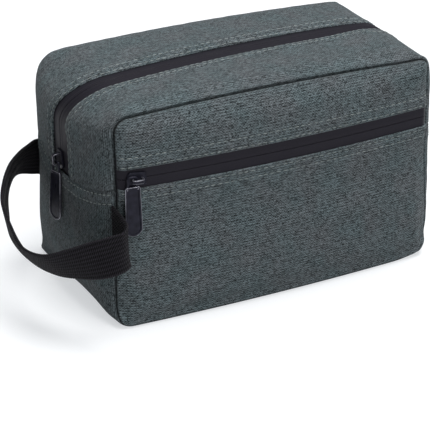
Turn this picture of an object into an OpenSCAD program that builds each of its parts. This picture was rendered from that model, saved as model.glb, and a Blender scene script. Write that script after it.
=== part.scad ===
// Toiletry bag: padded fabric shell, main zip over the top, front pocket zip and a webbing wrist loop.
// X runs along the length, the front faces -Y, Z is up, and the origin is the middle of the flat base.

/* [Bag] */
// Length between the seams of the two ends
bag_l = 212; // [180:1:260]
// Depth between the front seam and the back seam
bag_w = 122; // [100:1:150]
// Height of the front and back panels
bag_h = 134; // [120:1:170]
// Corner radius of the panels at the top
corner_top_r = 10; // [9:1:16]
// Extra radius of the gusset at its middle where it turns over the top corners
corner_round = 13; // [6:1:14]
// Corner radius of the panels at the base
corner_base_r = 8; // [7:1:14]
// Rise of the top line in the middle
top_arch = 3; // [0:0.5:6]

/* [Filled shape] */
// Swell of the front panel at its middle
front_crown = 6; // [3:0.5:8]
// Swell of the back panel at its middle
back_crown = 5; // [3:0.5:8]
// Swell of the top between the panels
top_crown = 4; // [2:0.5:6]
// Swell of each end between the panels
end_crown = 8.5; // [5:0.5:11]
// Height of the rolled edge inside the panel seams
roll_h = 4.5; // [3:0.5:6]
// Width of the rolled edge inside the panel seams
roll_w = 5; // [4:0.5:7]
// Height of the rolled edge along the gusset seams
gusset_roll = 1.5; // [0.5:0.25:2.5]

/* [Layers] */
// Thickness of the outer fabric
shell_t = 1; // [0.8:0.1:1.4]
// Thickness of the padding foam
foam_t = 2; // [1:0.5:3]
// Thickness of the lining
lining_t = 0.6; // [0.4:0.1:0.8]
// Width of the bound seam allowance inside
binding_w = 4; // [3:0.5:6]

/* [Zips] */
// Width of tape that shows between the fabric edges of the main zip
main_zip_show = 17; // [14:0.5:20]
// Width of tape that shows between the fabric edges of the front zip
front_zip_show = 12; // [11:0.5:14]
// Width of zip tape hidden under each fabric edge
tape_under = 7; // [5:0.5:9]
// Thickness of the zip tape
tape_t = 0.7; // [0.5:0.1:0.9]
// Distance of the front zip below the top line
front_zip_drop = 37; // [36:1:44]
// Distance of the seam where the main zip ends below the top line
end_seam_drop = 53; // [50:1:58]
// Sideways offset of the main zip at the middle of the top
zip_shift = -2.5; // [-5:0.5:5]
// Sideways lean of the main zip from the middle to each top corner
zip_lean = 6; // [0:0.5:8]

/* [Slider and puller] */
// Length of each slider
slider_l = 11.5; // [11:0.25:13]
// Widest width of each slider
slider_w = 9.2; // [8.8:0.1:9.6]
// Clear height under the slider bridge
bridge_gap = 3.6; // [3.6:0.1:4]
// Length of each puller from its cross bar to its tip
puller_l = 38; // [30:1:42]
// Width of each puller below its eye
puller_top_w = 9.2; // [9:0.1:10]
// Width of each puller near its tip
puller_tip_w = 10.8; // [9.5:0.1:11.5]
// Thickness of each puller
puller_t = 1.5; // [1.2:0.1:1.6]
// Turn of the main puller about its length as it hangs
puller_twist = 18; // [0:1:18]
// Lean of the main puller away from the end as it hangs
puller_lean = 5; // [4:0.5:8]

/* [Wrist loop] */
// Width of the webbing
strap_w = 25; // [20:1:26]
// Thickness of the webbing
strap_t = 1.8; // [1.4:0.1:2.2]
// Distance of the webbing below the end seam where it is sewn in
strap_drop = 0.5; // [0.5:0.5:6]
// Reach of the loop beyond the end seam
strap_reach = 45; // [42:0.2:60]
// Sag of the loop below its sewn ends
strap_sag = 23; // [16:1:26]

/* [Hidden] */
$fn = 40;
hl = bag_l / 2;
hw = bag_w / 2;
front_zip_z = bag_h - front_zip_drop;
end_seam_z = bag_h - end_seam_drop;
strap_z = end_seam_z - strap_drop - strap_w / 2;
// clearance between neighbouring layers
gap = 0.2;
seam = 0.1;
// share of the height over which the top arches and the ends swell
arch_from = 0.8;
swell_to = 0.25;
gusset_roll_w = 5;
arc_n = 6;
// distances in from a panel edge at which its rolled edge is cut into strips
rim_steps = [0, shell_t, shell_t + 0.25 * roll_w, shell_t + 0.55 * roll_w, shell_t + roll_w];
// depths below the outer face of the fabric
tape_d = shell_t + gap;
coil_t = 1.5;
coil_w = 2.2;
zip_slit = 1.4;
post_w = 0.8;
tape_tuck = 6;
coil_d = tape_d + tape_t + 0.05;
lining_d = tape_d + tape_t + gap;
base_foam_d = shell_t + gap;
base_lining_d = base_foam_d + foam_t + gap;
pocket_crown = 1.5;
pocket_d = shell_t + gap;
front_foam_d = pocket_d + lining_t + gap;
front_lining_d = front_foam_d + foam_t + gap;
front_stack = front_lining_d + lining_t;
back_foam_d = shell_t + gap;
back_lining_d = back_foam_d + foam_t + gap;
// slider heights above the face of the tape
run_gap = 0.25;
plate_t = 1.2;
plate_top = run_gap + plate_t;
under_top = -(tape_t + 0.05 + coil_t + run_gap);
under_t = 1;
bridge_t = 1.2;
bridge_w = 2.4;
bridge_in = 2.6;
leg_mid = bridge_in + bridge_t / 2;
bar_r = 0.7;
eye_in = 4.2;
eye_l = 5.4;
eye_out = 7;
main_lift = plate_top + bridge_gap - 1.55;
front_lift = plate_top + bar_r + 0.4;
// resting place of the front slider, on the arc that the bowed zip follows
zip_bow = front_crown * (1 - pow(2 * front_zip_z / bag_h - 1, 4));
zip_arc_r = hl * hl / (2 * zip_bow);
front_slider_x = hl - shell_t - roll_w - slider_l / 2 - 0.3;
front_slider_turn = asin(front_slider_x / zip_arc_r);
zip_face_y = hw + roll_h + zip_bow - tape_d;
// resting place of the main slider on the left end
end_face_x = hl + end_crown + gusset_roll - tape_d;
main_slider_z = end_seam_z + slider_l / 2 + 1.5;

function mix(a, b, t) = a + (b - a) * t;
function clamp01(t) = min(max(t, 0), 1);
function smooth(t) = let (c = clamp01(t)) c * c * (3 - 2 * c);
function rolled(t) = let (c = clamp01(t)) c * (2 - c);

// half length of the panel outline at a height, set in by a margin
function half_len(z, i) =
  let (rt = corner_top_r - i, rb = corner_base_r - i)
  let (up = z - (bag_h - corner_top_r), dn = corner_base_r - z)
  up > 0 ? hl - corner_top_r + sqrt(max(0, rt * rt - up * up))
  : dn > 0 ? hl - corner_base_r + sqrt(max(0, rb * rb - dn * dn))
  : hl - i;

// distance of a panel point inside the outline
function inside(x, z) =
  let (r = z > bag_h / 2 ? corner_top_r : corner_base_r)
  let (qx = abs(x) - (hl - r), qz = abs(z - bag_h / 2) - (bag_h / 2 - r))
  r - norm([max(qx, 0), max(qz, 0)]) - min(max(qx, qz), 0);

// lifts a point with the arched top line
function arched(p) =
  let (t = max(0, (p[2] / bag_h - arch_from) / (1 - arch_from)))
  [p[0], p[1], p[2] + top_arch * max(0, 1 - pow(p[0] / hl, 2)) * t * t];

// outward swell of a filled panel: rolled edge, then a shallow crown
function crown(x, z, c) = c * (1 - pow(x / hl, 2)) * (1 - pow(2 * z / bag_h - 1, 4));
function filled(x, z, c) = roll_h * rolled((inside(x, z) - shell_t) / roll_w) + crown(x, z, c);

function front_pt(x, z, d) = arched([x, -hw - filled(x, z, front_crown) + d, z]);
function back_pt(x, z, d) = arched([x, hw + filled(x, z, back_crown) - d, z]);
function pocket_pt(x, z, d) = arched([x, -hw - crown(x, z, pocket_crown) + d, z]);

// columns of a panel row: the rolled rim at both sides and even steps between
function columns(z, i, rims, n) =
  let (w = half_len(z, i), last = rims[len(rims) - 1], m = len(rims))
  concat([for (r = rims) -w + r],
    [for (k = [1:n - 1]) mix(-w + last, w - last, k / n)],
    [for (k = [m - 1:-1:0]) w - rims[k]]);

// closed sheet between two grids of points, its first grid outwards
module sheet(outer, inner) {
  rows = len(outer);
  cols = len(outer[0]);
  n = rows * cols;
  last = (rows - 1) * cols;
  pts = concat([for (r = outer) for (p = r) p], [for (r = inner) for (p = r) p]);
  top = [for (r = [0:rows - 2]) for (c = [0:cols - 2]) let (a = r * cols + c)
    each [[a, a + cols, a + cols + 1], [a, a + cols + 1, a + 1]]];
  bottom = [for (f = top) [f[0] + n, f[2] + n, f[1] + n]];
  rim_a = [for (c = [0:cols - 2]) each [[c, c + 1, c + 1 + n], [c, c + 1 + n, c + n]]];
  rim_b = [for (c = [0:cols - 2]) let (a = last + c) each [[a, a + n, a + 1 + n], [a, a + 1 + n, a + 1]]];
  rim_c = [for (r = [0:rows - 2]) let (a = r * cols)
    each [[a, a + n, a + cols + n], [a, a + cols + n, a + cols]]];
  rim_d = [for (r = [0:rows - 2]) let (a = r * cols + cols - 1)
    each [[a, a + cols, a + cols + n], [a, a + cols + n, a + n]]];
  polyhedron(points = pts, faces = concat(top, bottom, rim_a, rim_b, rim_c, rim_d), convexity = 6);
}

// a row without its first and last few points
function trimmed(r, skip) = [for (k = [skip:len(r) - 1 - skip]) r[k]];
function turned(g) = [for (r = g) [for (k = [len(r) - 1:-1:0]) r[k]]];

// heights at which the panels are cut
zip_hi = front_zip_z + front_zip_show / 2;
zip_lo = front_zip_z - front_zip_show / 2;
top_rows = concat([zip_hi, mix(zip_hi, bag_h - rim_steps[4], 0.35), mix(zip_hi, bag_h - rim_steps[4], 0.7)],
  [for (k = [4:-1:0]) bag_h - rim_steps[k]]);
low_rows = concat(rim_steps, [for (t = [0.08, 0.2, 0.4, 0.6, 0.8, 1]) mix(rim_steps[4], zip_lo, t)]);
full_rows = concat(rim_steps,
  [for (t = [0.07, 0.16, 0.3, 0.5, 0.7, 0.84, 0.93]) mix(rim_steps[4], bag_h - rim_steps[4], t)],
  [for (k = [4:-1:0]) bag_h - rim_steps[k]]);

module front_cloth(rows, i, d0, d1) {
  sheet([for (z = rows) [for (x = columns(z, i, rim_steps, 10)) front_pt(x, z, d0)]],
    [for (z = rows) [for (x = columns(z, i, rim_steps, 10)) front_pt(x, z, d1)]]);
}

module back_cloth(rows, i, d0, d1) {
  sheet(turned([for (z = rows) [for (x = columns(z, i, rim_steps, 8)) back_pt(x, z, d0)]]),
    turned([for (z = rows) [for (x = columns(z, i, rim_steps, 8)) back_pt(x, z, d1)]]));
}

// flat inner layers behind the pocket
function inset_rows(i, n) = [for (k = [0:n]) let (t = (1 - cos(180 * k / n)) / 2) mix(i, bag_h - i, t)];

module pocket_cloth(i, d0, d1) {
  sheet([for (z = inset_rows(i, 14)) [for (x = columns(z, i, [0], 8)) pocket_pt(x, z, d0)]],
    [for (z = inset_rows(i, 14)) [for (x = columns(z, i, [0], 8)) pocket_pt(x, z, d1)]]);
}

// stations of the gusset: place on the panel outline, the way it faces and its shift for each millimetre
// of extra corner radius, then the way round to the right
function with_right(h) = concat(h,
  [for (k = [len(h) - 1:-1:0]) let (q = h[k]) [-q[0], q[1], -q[2], q[3], -q[4], q[5]]]);
top_half = concat(
  [for (k = [0:3]) [-hl, mix(end_seam_z + seam, bag_h - corner_top_r, k / 3), -1, 0, 0, -k / 3]],
  [for (k = [1:arc_n]) let (a = 180 - 90 * k / arc_n, in = 1 + cos(a), down = 1 - sin(a))
    [-hl + corner_top_r * in, bag_h - corner_top_r * down, cos(a), sin(a), in, -down]],
  [for (k = [1:3]) [mix(-hl + corner_top_r, 0, k / 3.5), bag_h, 0, 1, 1 - k / 3.5, 0]]);
base_half = concat(
  [[-hl, end_seam_z - seam, -1, 0, 0, 0]],
  [for (k = [0:4]) [-hl, mix(end_seam_z - tape_tuck - 1, corner_base_r, k / 4), -1, 0, 0, 0]],
  [for (k = [1:arc_n]) let (a = 180 + 90 * k / arc_n)
    [-hl + corner_base_r * (1 + cos(a)), corner_base_r * (1 + sin(a)), cos(a), sin(a), 0, 0]]);
top_way = with_right(top_half);
base_way = with_right(base_half);

function gusset_pt(s, y, d) =
  let (swell = top_crown * pow(max(s[3], 0), 2)
    + end_crown * smooth(s[1] / (swell_to * bag_h)) * pow(s[2], 2))
  let (edge = gusset_roll * rolled((hw - shell_t - abs(y)) / gusset_roll_w) * (s[3] < 0 ? s[2] * s[2] : 1))
  let (low = smooth((s[1] - 1) / corner_base_r))
  let (middle = 1 - pow(y / hw, 2), rounder = corner_round * middle)
  let (out = swell * middle + edge * (s[3] > 0 ? 1 : low) - d)
  arched([s[0] + s[4] * rounder + s[2] * out, y, s[1] + s[5] * rounder + s[3] * out]);

// sideways place of the main zip: straight on the ends, leaning over the top
function zip_y(s) = (zip_shift + zip_lean * s[0] / hl) * smooth(s[3]);

seam_y = hw - shell_t;
function strip_y(from, to) = [for (t = [0, 0.03, 0.07, 0.11, 0.4, 0.7, 1]) mix(from, to, t)];

module gusset_strip(way, ys, d0, d1) {
  sheet([for (k = [0:len(way) - 1]) [for (y = ys[k]) gusset_pt(way[k], y, d0)]],
    [for (k = [0:len(way) - 1]) [for (y = ys[k]) gusset_pt(way[k], y, d1)]]);
}

// OUTER FABRIC
module front_panel_upper() color([0.3, 0.33, 0.34]) front_cloth(top_rows, 0, 0, shell_t);
module front_panel_lower() color([0.3, 0.33, 0.34]) front_cloth(low_rows, 0, 0, shell_t);
module back_panel() color([0.3, 0.33, 0.34]) back_cloth(full_rows, 0, 0, shell_t);

module top_gusset_front() color([0.33, 0.36, 0.37])
  gusset_strip(top_way, [for (s = top_way) turned([strip_y(-seam_y, zip_y(s) - main_zip_show / 2)])[0]],
    0, shell_t);

module top_gusset_rear() color([0.33, 0.36, 0.37])
  gusset_strip(top_way, [for (s = top_way) strip_y(seam_y, zip_y(s) + main_zip_show / 2)], 0, shell_t);

base_y = [for (t = [-1, -0.97, -0.94, -0.9, -0.6, -0.3, 0, 0.3, 0.6, 0.9, 0.94, 0.97, 1]) t * seam_y];
module base_gusset() color([0.28, 0.31, 0.32])
  gusset_strip(base_way, [for (s = base_way) base_y], 0, shell_t);

// PADDING AND LINING
module pocket_backing() color([0.2, 0.21, 0.22]) pocket_cloth(tape_d + 0.1, pocket_d, pocket_d + lining_t);
module front_foam() color([0.8, 0.8, 0.76]) pocket_cloth(tape_d + 0.1, front_foam_d, front_foam_d + foam_t);
module front_lining() color([0.2, 0.21, 0.22]) pocket_cloth(tape_d + 0.1, front_lining_d, front_stack);

inner_back = [for (z = full_rows) if (z > rim_steps[1] + 0.1 && z < bag_h - rim_steps[1] - 0.1) z];
module back_layer(d0, d1) {
  outer = [for (z = inner_back) trimmed([for (x = columns(z, 0, rim_steps, 8)) back_pt(x, z, d0)], 2)];
  inner = [for (z = inner_back) trimmed([for (x = columns(z, 0, rim_steps, 8)) back_pt(x, z, d1)], 2)];
  sheet(turned(outer), turned(inner));
}
module back_foam() color([0.8, 0.8, 0.76]) back_layer(back_foam_d, back_foam_d + foam_t);
module back_lining() color([0.2, 0.21, 0.22]) back_layer(back_lining_d, back_lining_d + lining_t);

inner_y = [for (t = [-0.9, -0.6, -0.3, 0, 0.3, 0.6, 0.9]) t * seam_y];
foam_way = [for (k = [1:len(base_way) - 2]) base_way[k]];
module base_foam() color([0.8, 0.8, 0.76])
  gusset_strip(foam_way, [for (s = foam_way) inner_y], base_foam_d, base_foam_d + foam_t);
module base_lining() color([0.2, 0.21, 0.22])
  gusset_strip(base_way, [for (s = base_way) inner_y], base_lining_d, base_lining_d + lining_t);

// the top lining stops beside the room that the slider needs
lining_edge = slider_w / 2 + 1;
function lining_y(from, to) = [for (t = [0, 0.35, 0.7, 0.9, 1]) mix(from, to, t)];
module top_lining_front() color([0.2, 0.21, 0.22])
  gusset_strip(top_way, [for (s = top_way) turned([lining_y(-0.9 * seam_y, zip_y(s) - lining_edge)])[0]],
    lining_d, lining_d + lining_t);
module top_lining_rear() color([0.2, 0.21, 0.22])
  gusset_strip(top_way, [for (s = top_way) lining_y(0.9 * seam_y, zip_y(s) + lining_edge)],
    lining_d, lining_d + lining_t);

// bound seam allowances, two flat rings that follow the panel outline inside
bind_i = base_lining_d + lining_t + 0.3;
bind_t = 1.5;
function outline(i) =
  let (rt = max(corner_top_r - i, 1), rb = max(corner_base_r - i, 1))
  let (right = concat(
    [for (k = [0:6]) let (a = -90 + 15 * k) [hl - i - rb + rb * cos(a), i + rb + rb * sin(a)]],
    [for (k = [0:6]) let (a = 15 * k) [hl - i - rt + rt * cos(a), bag_h - i - rt + rt * sin(a)]],
    [[hl / 2, bag_h - i]]))
  let (all = concat(right, [[0, bag_h - i]], [for (k = [len(right) - 1:-1:0]) [-right[k][0], right[k][1]]]))
  [for (p = all) let (q = arched([p[0], 0, p[1]])) [q[0], q[2]]];

module binding(y) {
  translate([0, y + bind_t, 0]) rotate([90, 0, 0]) linear_extrude(bind_t) difference() {
    polygon(outline(bind_i));
    polygon(outline(bind_i + binding_w));
  }
}
module front_binding() color([0.12, 0.12, 0.13]) binding(-hw + front_stack + 0.3);
module back_binding() color([0.12, 0.12, 0.13])
  binding(hw + roll_h * rolled((bind_i - shell_t) / roll_w) - back_lining_d - lining_t - 0.8 - bind_t);

// ZIPS
end_low = [-hl, end_seam_z - tape_tuck, -1, 0, 0, 0];
end_right = [hl, end_seam_z - tape_tuck, 1, 0, 0, 0];
tape_way = concat([end_low], top_way, [end_right]);
main_tape_edge = main_zip_show / 2 + tape_under;
front_tape_edge = front_zip_show / 2 + tape_under;
module main_zip_tape_front() color([0.1, 0.1, 0.11])
  gusset_strip(tape_way,
    [for (s = tape_way) [for (t = [zip_slit / 2, main_zip_show / 2, main_tape_edge]) zip_y(s) - t]],
    tape_d, tape_d + tape_t);
module main_zip_tape_rear() color([0.1, 0.1, 0.11])
  gusset_strip(tape_way,
    [for (s = tape_way) [for (t = [main_tape_edge, main_zip_show / 2, zip_slit / 2]) zip_y(s) + t]],
    tape_d, tape_d + tape_t);

coil_out = zip_slit / 2 + coil_w;
module main_zip_coil_front() color([0.05, 0.05, 0.06])
  gusset_strip(top_way, [for (s = top_way) [for (t = [zip_slit / 2, coil_out]) zip_y(s) - t]],
    coil_d, coil_d + coil_t);
module main_zip_coil_rear() color([0.05, 0.05, 0.06])
  gusset_strip(top_way, [for (s = top_way) [for (t = [coil_out, zip_slit / 2]) zip_y(s) + t]],
    coil_d, coil_d + coil_t);

// a strip along the front zip between two distances from its centre line, clear of the side seams
module front_strip(zs, skip, d0, d1) {
  sheet([for (z = zs) trimmed([for (x = columns(z, 0, rim_steps, 10)) front_pt(x, z, d0)], skip)],
    [for (z = zs) trimmed([for (x = columns(z, 0, rim_steps, 10)) front_pt(x, z, d1)], skip)]);
}
module front_zip_tape_upper() color([0.1, 0.1, 0.11])
  front_strip([for (t = [zip_slit / 2, front_zip_show / 2, front_tape_edge]) front_zip_z + t], 2,
    tape_d, tape_d + tape_t);
module front_zip_tape_lower() color([0.1, 0.1, 0.11])
  front_strip([for (t = [front_tape_edge, front_zip_show / 2, zip_slit / 2]) front_zip_z - t], 2,
    tape_d, tape_d + tape_t);
module front_zip_coil_upper() color([0.05, 0.05, 0.06])
  front_strip([for (t = [zip_slit / 2, coil_out]) front_zip_z + t], 4, coil_d, coil_d + coil_t);
module front_zip_coil_lower() color([0.05, 0.05, 0.06])
  front_strip([for (t = [coil_out, zip_slit / 2]) front_zip_z - t], 4, coil_d, coil_d + coil_t);

// SLIDER, lying on the zip with its wide end towards +X and Z away from the tape
function shield_side(l, w, nose) =
  [[-l / 2, w * 0.39], [-l / 2 + 0.8, w * 0.42], [l * 0.18, w / 2], [l * 0.38, w / 2], [l / 2, nose]];
function shield(l, w, nose) =
  let (a = shield_side(l, w, nose))
  concat(a, [for (k = [4:-1:0]) [a[k][0], -a[k][1]]]);

module arch_side(l, h, r) {
  translate([-l / 2, 0]) square([l, h - r]);
  translate([-l / 2 + r, h - 2 * r]) square([l - 2 * r, 2 * r]);
  translate([-l / 2 + r, h - r]) circle(r);
  translate([l / 2 - r, h - r]) circle(r);
}

module slider() {
  flange_in = coil_out + run_gap;
  // upper plate over the tape
  translate([0, 0, run_gap]) linear_extrude(plate_t - 0.4)
    polygon(shield(slider_l, slider_w, slider_w * 0.3));
  translate([0, 0, plate_top - 0.4]) linear_extrude(0.4)
    polygon(shield(slider_l - 0.8, slider_w - 0.8, slider_w * 0.28));
  // lower plate under the coil, with a flange at each side
  translate([0, 0, under_top - under_t]) linear_extrude(under_t)
    polygon(shield(slider_l - 0.6, slider_w - 0.4, slider_w * 0.3));
  for (side = [-1, 1])
    translate([-slider_l / 2 + 0.6, side * (flange_in + 0.4) - 0.4, under_top])
      cube([slider_l * 0.62, 0.8, -(tape_t + run_gap) - under_top]);
  // post that parts the two rows of coil
  translate([slider_l * 0.12, -post_w / 2, under_top - 0.1])
    cube([slider_l * 0.26, post_w, plate_top - under_top]);
  // bridge that carries the puller
  translate([0, bridge_w / 2, plate_top - 0.05]) rotate([90, 0, 0]) linear_extrude(bridge_w) difference() {
    arch_side(2 * (bridge_in + bridge_t), bridge_gap + bridge_t + 0.05, 2);
    translate([0, -1]) arch_side(2 * bridge_in, bridge_gap + 1.05, 0.8);
  }
}

// PULLER, its cross bar on Y at the origin and its plate towards +X
function tab(a, b, wa, wb) = [[a, -wa / 2], [b, -wb / 2], [b, wb / 2], [a, wa / 2]];

module tab_shape(a, b, wa, wb) {
  polygon(tab(a, b - wb / 2, wa, wb));
  translate([b - wb / 2, 0]) circle(d = wb);
}

module puller() {
  neck = bar_r + eye_l;
  rotate([90, 0, 0]) cylinder(r = bar_r, h = eye_out, center = true);
  for (side = [-1, 1])
    translate([0, side * (eye_in + eye_out) / 4 - (eye_out - eye_in) / 4, -bar_r])
      cube([neck + 1, (eye_out - eye_in) / 2, 2 * bar_r]);
  difference() {
    translate([0, 0, -puller_t / 2]) linear_extrude(puller_t)
      tab_shape(neck, puller_l, puller_top_w, puller_tip_w);
    translate([0, 0, puller_t / 2 - 0.4]) linear_extrude(1)
      tab_shape(neck + 1.6, puller_l - 1.5, puller_top_w - 2.6, puller_tip_w - 3);
  }
}

module on_front_zip() {
  translate([0, zip_arc_r - zip_face_y, front_zip_z]) rotate([0, 0, -front_slider_turn])
    translate([0, -zip_arc_r, 0]) rotate([90, 0, 0]) rotate([0, 0, 180]) children();
}
module on_main_zip() {
  translate([-end_face_x, 0, main_slider_z]) rotate([0, -90, 0]) rotate([0, 0, 180]) children();
}

module main_slider() color([0.08, 0.08, 0.09]) on_main_zip() slider();
module front_slider() color([0.08, 0.08, 0.09]) on_front_zip() slider();
module main_puller() color([0.12, 0.12, 0.14]) on_main_zip()
  translate([bridge_in - bar_r - 0.3, 0, main_lift]) rotate([-puller_twist, 0, 0])
  rotate([0, -puller_lean, 0]) puller();
module front_puller() color([0.12, 0.12, 0.14]) on_front_zip()
  translate([leg_mid, -bridge_w / 2 - bar_r - 0.3, front_lift]) rotate([0, 0, 90]) puller();

// WRIST LOOP: share of the reach, of the half depth and of the sag, then the outward lean in degrees
strap_route = [[0.007, -0.99, 0, 0], [-0.022, -1.14, 0.126, 0], [-0.02, -1.26, 0.222, 0],
  [0.048, -1.33, 0.3, -1], [0.189, -1.32, 0.391, 0], [0.377, -1.22, 0.565, 5], [0.59, -1.05, 0.783, 22],
  [0.805, -0.83, 0.978, 37], [0.95, -0.55, 1, 36], [1, -0.26, 0.826, 20], [0.987, 0.04, 0.587, 10],
  [0.86, 0.31, 0.357, 3], [0.697, 0.56, 0.187, -8], [0.498, 0.77, 0.1, -19], [0.289, 0.94, 0.104, -24],
  [0.095, 1, 0.165, -7], [0, 0.995, 0.18, 0]];

function spline(p, i, t) =
  let (m = len(p) - 1, a = p[max(i - 1, 0)], b = p[i], c = p[min(i + 1, m)], d = p[min(i + 2, m)])
  0.5 * (2 * b + (c - a) * t + (2 * a - 5 * b + 4 * c - d) * t * t + (3 * b - a - 3 * c + d) * t * t * t);
strap_last = 3 * (len(strap_route) - 1);
strap_path = [for (k = [0:strap_last]) k == strap_last ? strap_route[k / 3]
  : spline(strap_route, floor(k / 3), (k % 3) / 3)];
function strap_at(k) = let (r = strap_path[k])
  [-hl - seam - strap_t / 2 - strap_reach * r[0], hw * r[1], strap_z - strap_sag * r[2]];
function unit(v) = v / norm(v);

// direction of the webbing at a station, level where it is sewn in so that its width stands upright
function strap_dir(k) =
  let (d = strap_at(min(k + 1, strap_last)) - strap_at(max(k - 1, 0)))
  unit([d[0], d[1], d[2] * min(1, k / 6, (strap_last - k) / 6)]);

// corner of the webbing at a station, for a side of its width and a side of its thickness
function strap_pt(k, side, face) =
  let (t = strap_dir(k), out = unit(cross([0, 0, 1], t)), lean = strap_path[k][3])
  let (w = unit(cross(t, out)) * cos(lean) + out * sin(lean), n = cross(t, w))
  strap_at(k) + w * side * strap_w / 2 + n * face * strap_t / 2;

module wrist_strap() color([0.06, 0.06, 0.07])
  sheet([for (k = [0:strap_last]) [for (side = [-1, 1]) strap_pt(k, side, -1)]],
    [for (k = [0:strap_last]) [for (side = [-1, 1]) strap_pt(k, side, 1)]]);

front_panel_upper();
front_panel_lower();
back_panel();
top_gusset_front();
top_gusset_rear();
base_gusset();
pocket_backing();
front_foam();
front_lining();
back_foam();
back_lining();
base_foam();
base_lining();
top_lining_front();
top_lining_rear();
front_binding();
back_binding();
main_zip_tape_front();
main_zip_tape_rear();
main_zip_coil_front();
main_zip_coil_rear();
main_slider();
main_puller();
front_zip_tape_upper();
front_zip_tape_lower();
front_zip_coil_upper();
front_zip_coil_lower();
front_slider();
front_puller();
wrist_strap();
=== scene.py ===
"""Looks of the toiletry bag: heather fabric, laminated zips, enamelled sliders and pullers, webbing loop.

Shapes are worked out in millimetres in the frame of the solids and made in metres.
"""

import math

import bmesh
import bpy
import numpy as np
from mathutils import Matrix, Vector


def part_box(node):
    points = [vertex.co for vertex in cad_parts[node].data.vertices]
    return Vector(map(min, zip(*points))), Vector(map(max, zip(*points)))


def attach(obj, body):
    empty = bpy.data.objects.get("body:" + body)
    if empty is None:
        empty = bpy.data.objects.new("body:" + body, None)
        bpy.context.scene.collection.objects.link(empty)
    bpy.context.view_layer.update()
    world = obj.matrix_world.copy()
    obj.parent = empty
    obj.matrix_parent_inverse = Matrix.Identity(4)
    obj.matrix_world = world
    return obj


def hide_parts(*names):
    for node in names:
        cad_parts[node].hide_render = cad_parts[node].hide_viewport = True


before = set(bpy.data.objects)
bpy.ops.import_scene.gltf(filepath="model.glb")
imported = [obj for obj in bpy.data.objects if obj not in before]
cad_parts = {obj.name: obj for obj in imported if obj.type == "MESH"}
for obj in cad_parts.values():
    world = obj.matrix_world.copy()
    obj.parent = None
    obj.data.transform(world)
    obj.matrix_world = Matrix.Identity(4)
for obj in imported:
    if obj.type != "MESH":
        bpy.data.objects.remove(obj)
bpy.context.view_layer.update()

MM = 0.001

# BAG: sizes over the seams, and the radii of the panels' corners
HALF_L = 106.0
HALF_W = 61.0
BAG_H = 134.0
TOP_R = 10.0
BASE_R = 8.0
# rise of the bowed top, and the share of the height from which it starts
TOP_ARCH = 3.0
ARCH_FROM = 0.8
# swell of each face at its middle
FRONT_CROWN = 6.0
BACK_CROWN = 5.0
POCKET_CROWN = 1.5
TOP_CROWN = 0.6
END_CROWN = 8.5
# how much rounder the top corners are at the zip, on the left and on the right
CORNER_ROUND = 13.0
RIGHT_ROUND = 4.0
# rolled seam allowance that stands out along the right end
RIGHT_RIDGE = 2.0
RIDGE_IN = 3.0
RIDGE_W = 2.2
RIDGE_FROM = 8.0
RIDGE_FADE = 60.0
# the sides spread in full up to a height, and less and less above it
BELLY = 2.6
BELLY_FROM = 20.0
BELLY_FADE = 60.0
# share of the panels' bow that the base keeps
BASE_BOW = 0.6
# share of the height over which the ends come to their full swell
SWELL_TO = 0.25
# height and width of the rolled edges
ROLL_H = 4.5
ROLL_W = 13.0
ZIP_ROLL_W = 5.0  # beside the front zip, so that the slider runs level to its ends
ZIP_ROLL_REACH = 22.0
ZIP_ROLL_FADE = 14.0
GUSSET_ROLL = 1.5
GUSSET_ROLL_W = 9.0
# thickness of each layer, and the gap between two
SHELL_T = 1.0
FOAM_T = 2.0
LINING_T = 0.6
LAYER_GAP = 0.2
BINDING_W = 4.0
BINDING_TOP_R = 3.7
BINDING_BASE_R = 3.0
# the edges turn in at a seam: how far the sewn line lies inside, how deep and how wide the groove is
SEAM_IN = 0.7
SEAM_TUCK = 2.6
GROOVE_W = 2.0
LIP_W = 1.6
GUSSET_EDGE = HALF_W - SEAM_IN
# how far the panels spread at the foot, and the height over which they do
FOOT = 4.8
FOOT_H = 14.0

# CORNERS of the filled bag: strength or shift of each change, and how far it reaches from the corner
SHARP_TOP = 0.5
SHARP_TOP_REAR = 0.35
SHARP_TOP_REACH = 20.0
STAND_OUT = 2.5
STAND_OUT_REACH = 26.0
SOFT_TOP = 1.4
SOFT_TOP_REACH = 24.0
SHARP_LOW = 0.8
SHARP_LOW_REACH = 20.0
SOFT_LOW = 1.6
SOFT_LOW_REACH = 24.0
PULL_LEFT = 3.0
PULL_FORWARD = 6.0
PULL_REACH = 30.0
# place in the bag's depth where some of them start, and the depth over which they grow
REAR_FADE = 50.0
SHARP_LOW_FROM = -40.0
SHARP_LOW_FADE = 60.0
PULL_FROM = -10.0
PULL_FADE = 70.0

# ZIPS: width that shows between the folds, then the tape and the coil
ZIP_SHOW = 12.0
MAIN_ZIP_SHOW = 17.0
TAPE_UNDER = 7.0
TAPE_T = 0.7
TAPE_D = SHELL_T + LAYER_GAP
TAPE_SLIT = 0.16
# the film lies raised over the coil, from the slit to where the coil ends, and its edge is rounded
FILM_RISE = 0.14
FILM_START = 0.6
FILM_TO = 2.6
FILM_FADE = 1.2
EDGE_DROP = 0.12
EDGE_W = 0.4
# how far the main zip's film stands up beyond the slider's leg, and dips under the end seams
FILM_DOME = 0.9
FILM_DIP = 1.2
COIL_IN = 0.7
COIL_W = 2.2
COIL_T = 1.5
COIL_PITCH = 1.4
FRONT_ZIP_Z = 97.0
ZIP_END = 6.0
ZIP_LO = FRONT_ZIP_Z - ZIP_SHOW / 2
ZIP_HI = FRONT_ZIP_Z + ZIP_SHOW / 2
# the main zip's place off the middle of the top, and how far it leans from end to middle
ZIP_SHIFT = -4.0
ZIP_LEAN = 6.0
# the seam at each end sags in the middle
SEAM_MID_Z = 80.5
SEAM_RISE = 8.9
TAPE_TUCK_Z = 75.0

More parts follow.
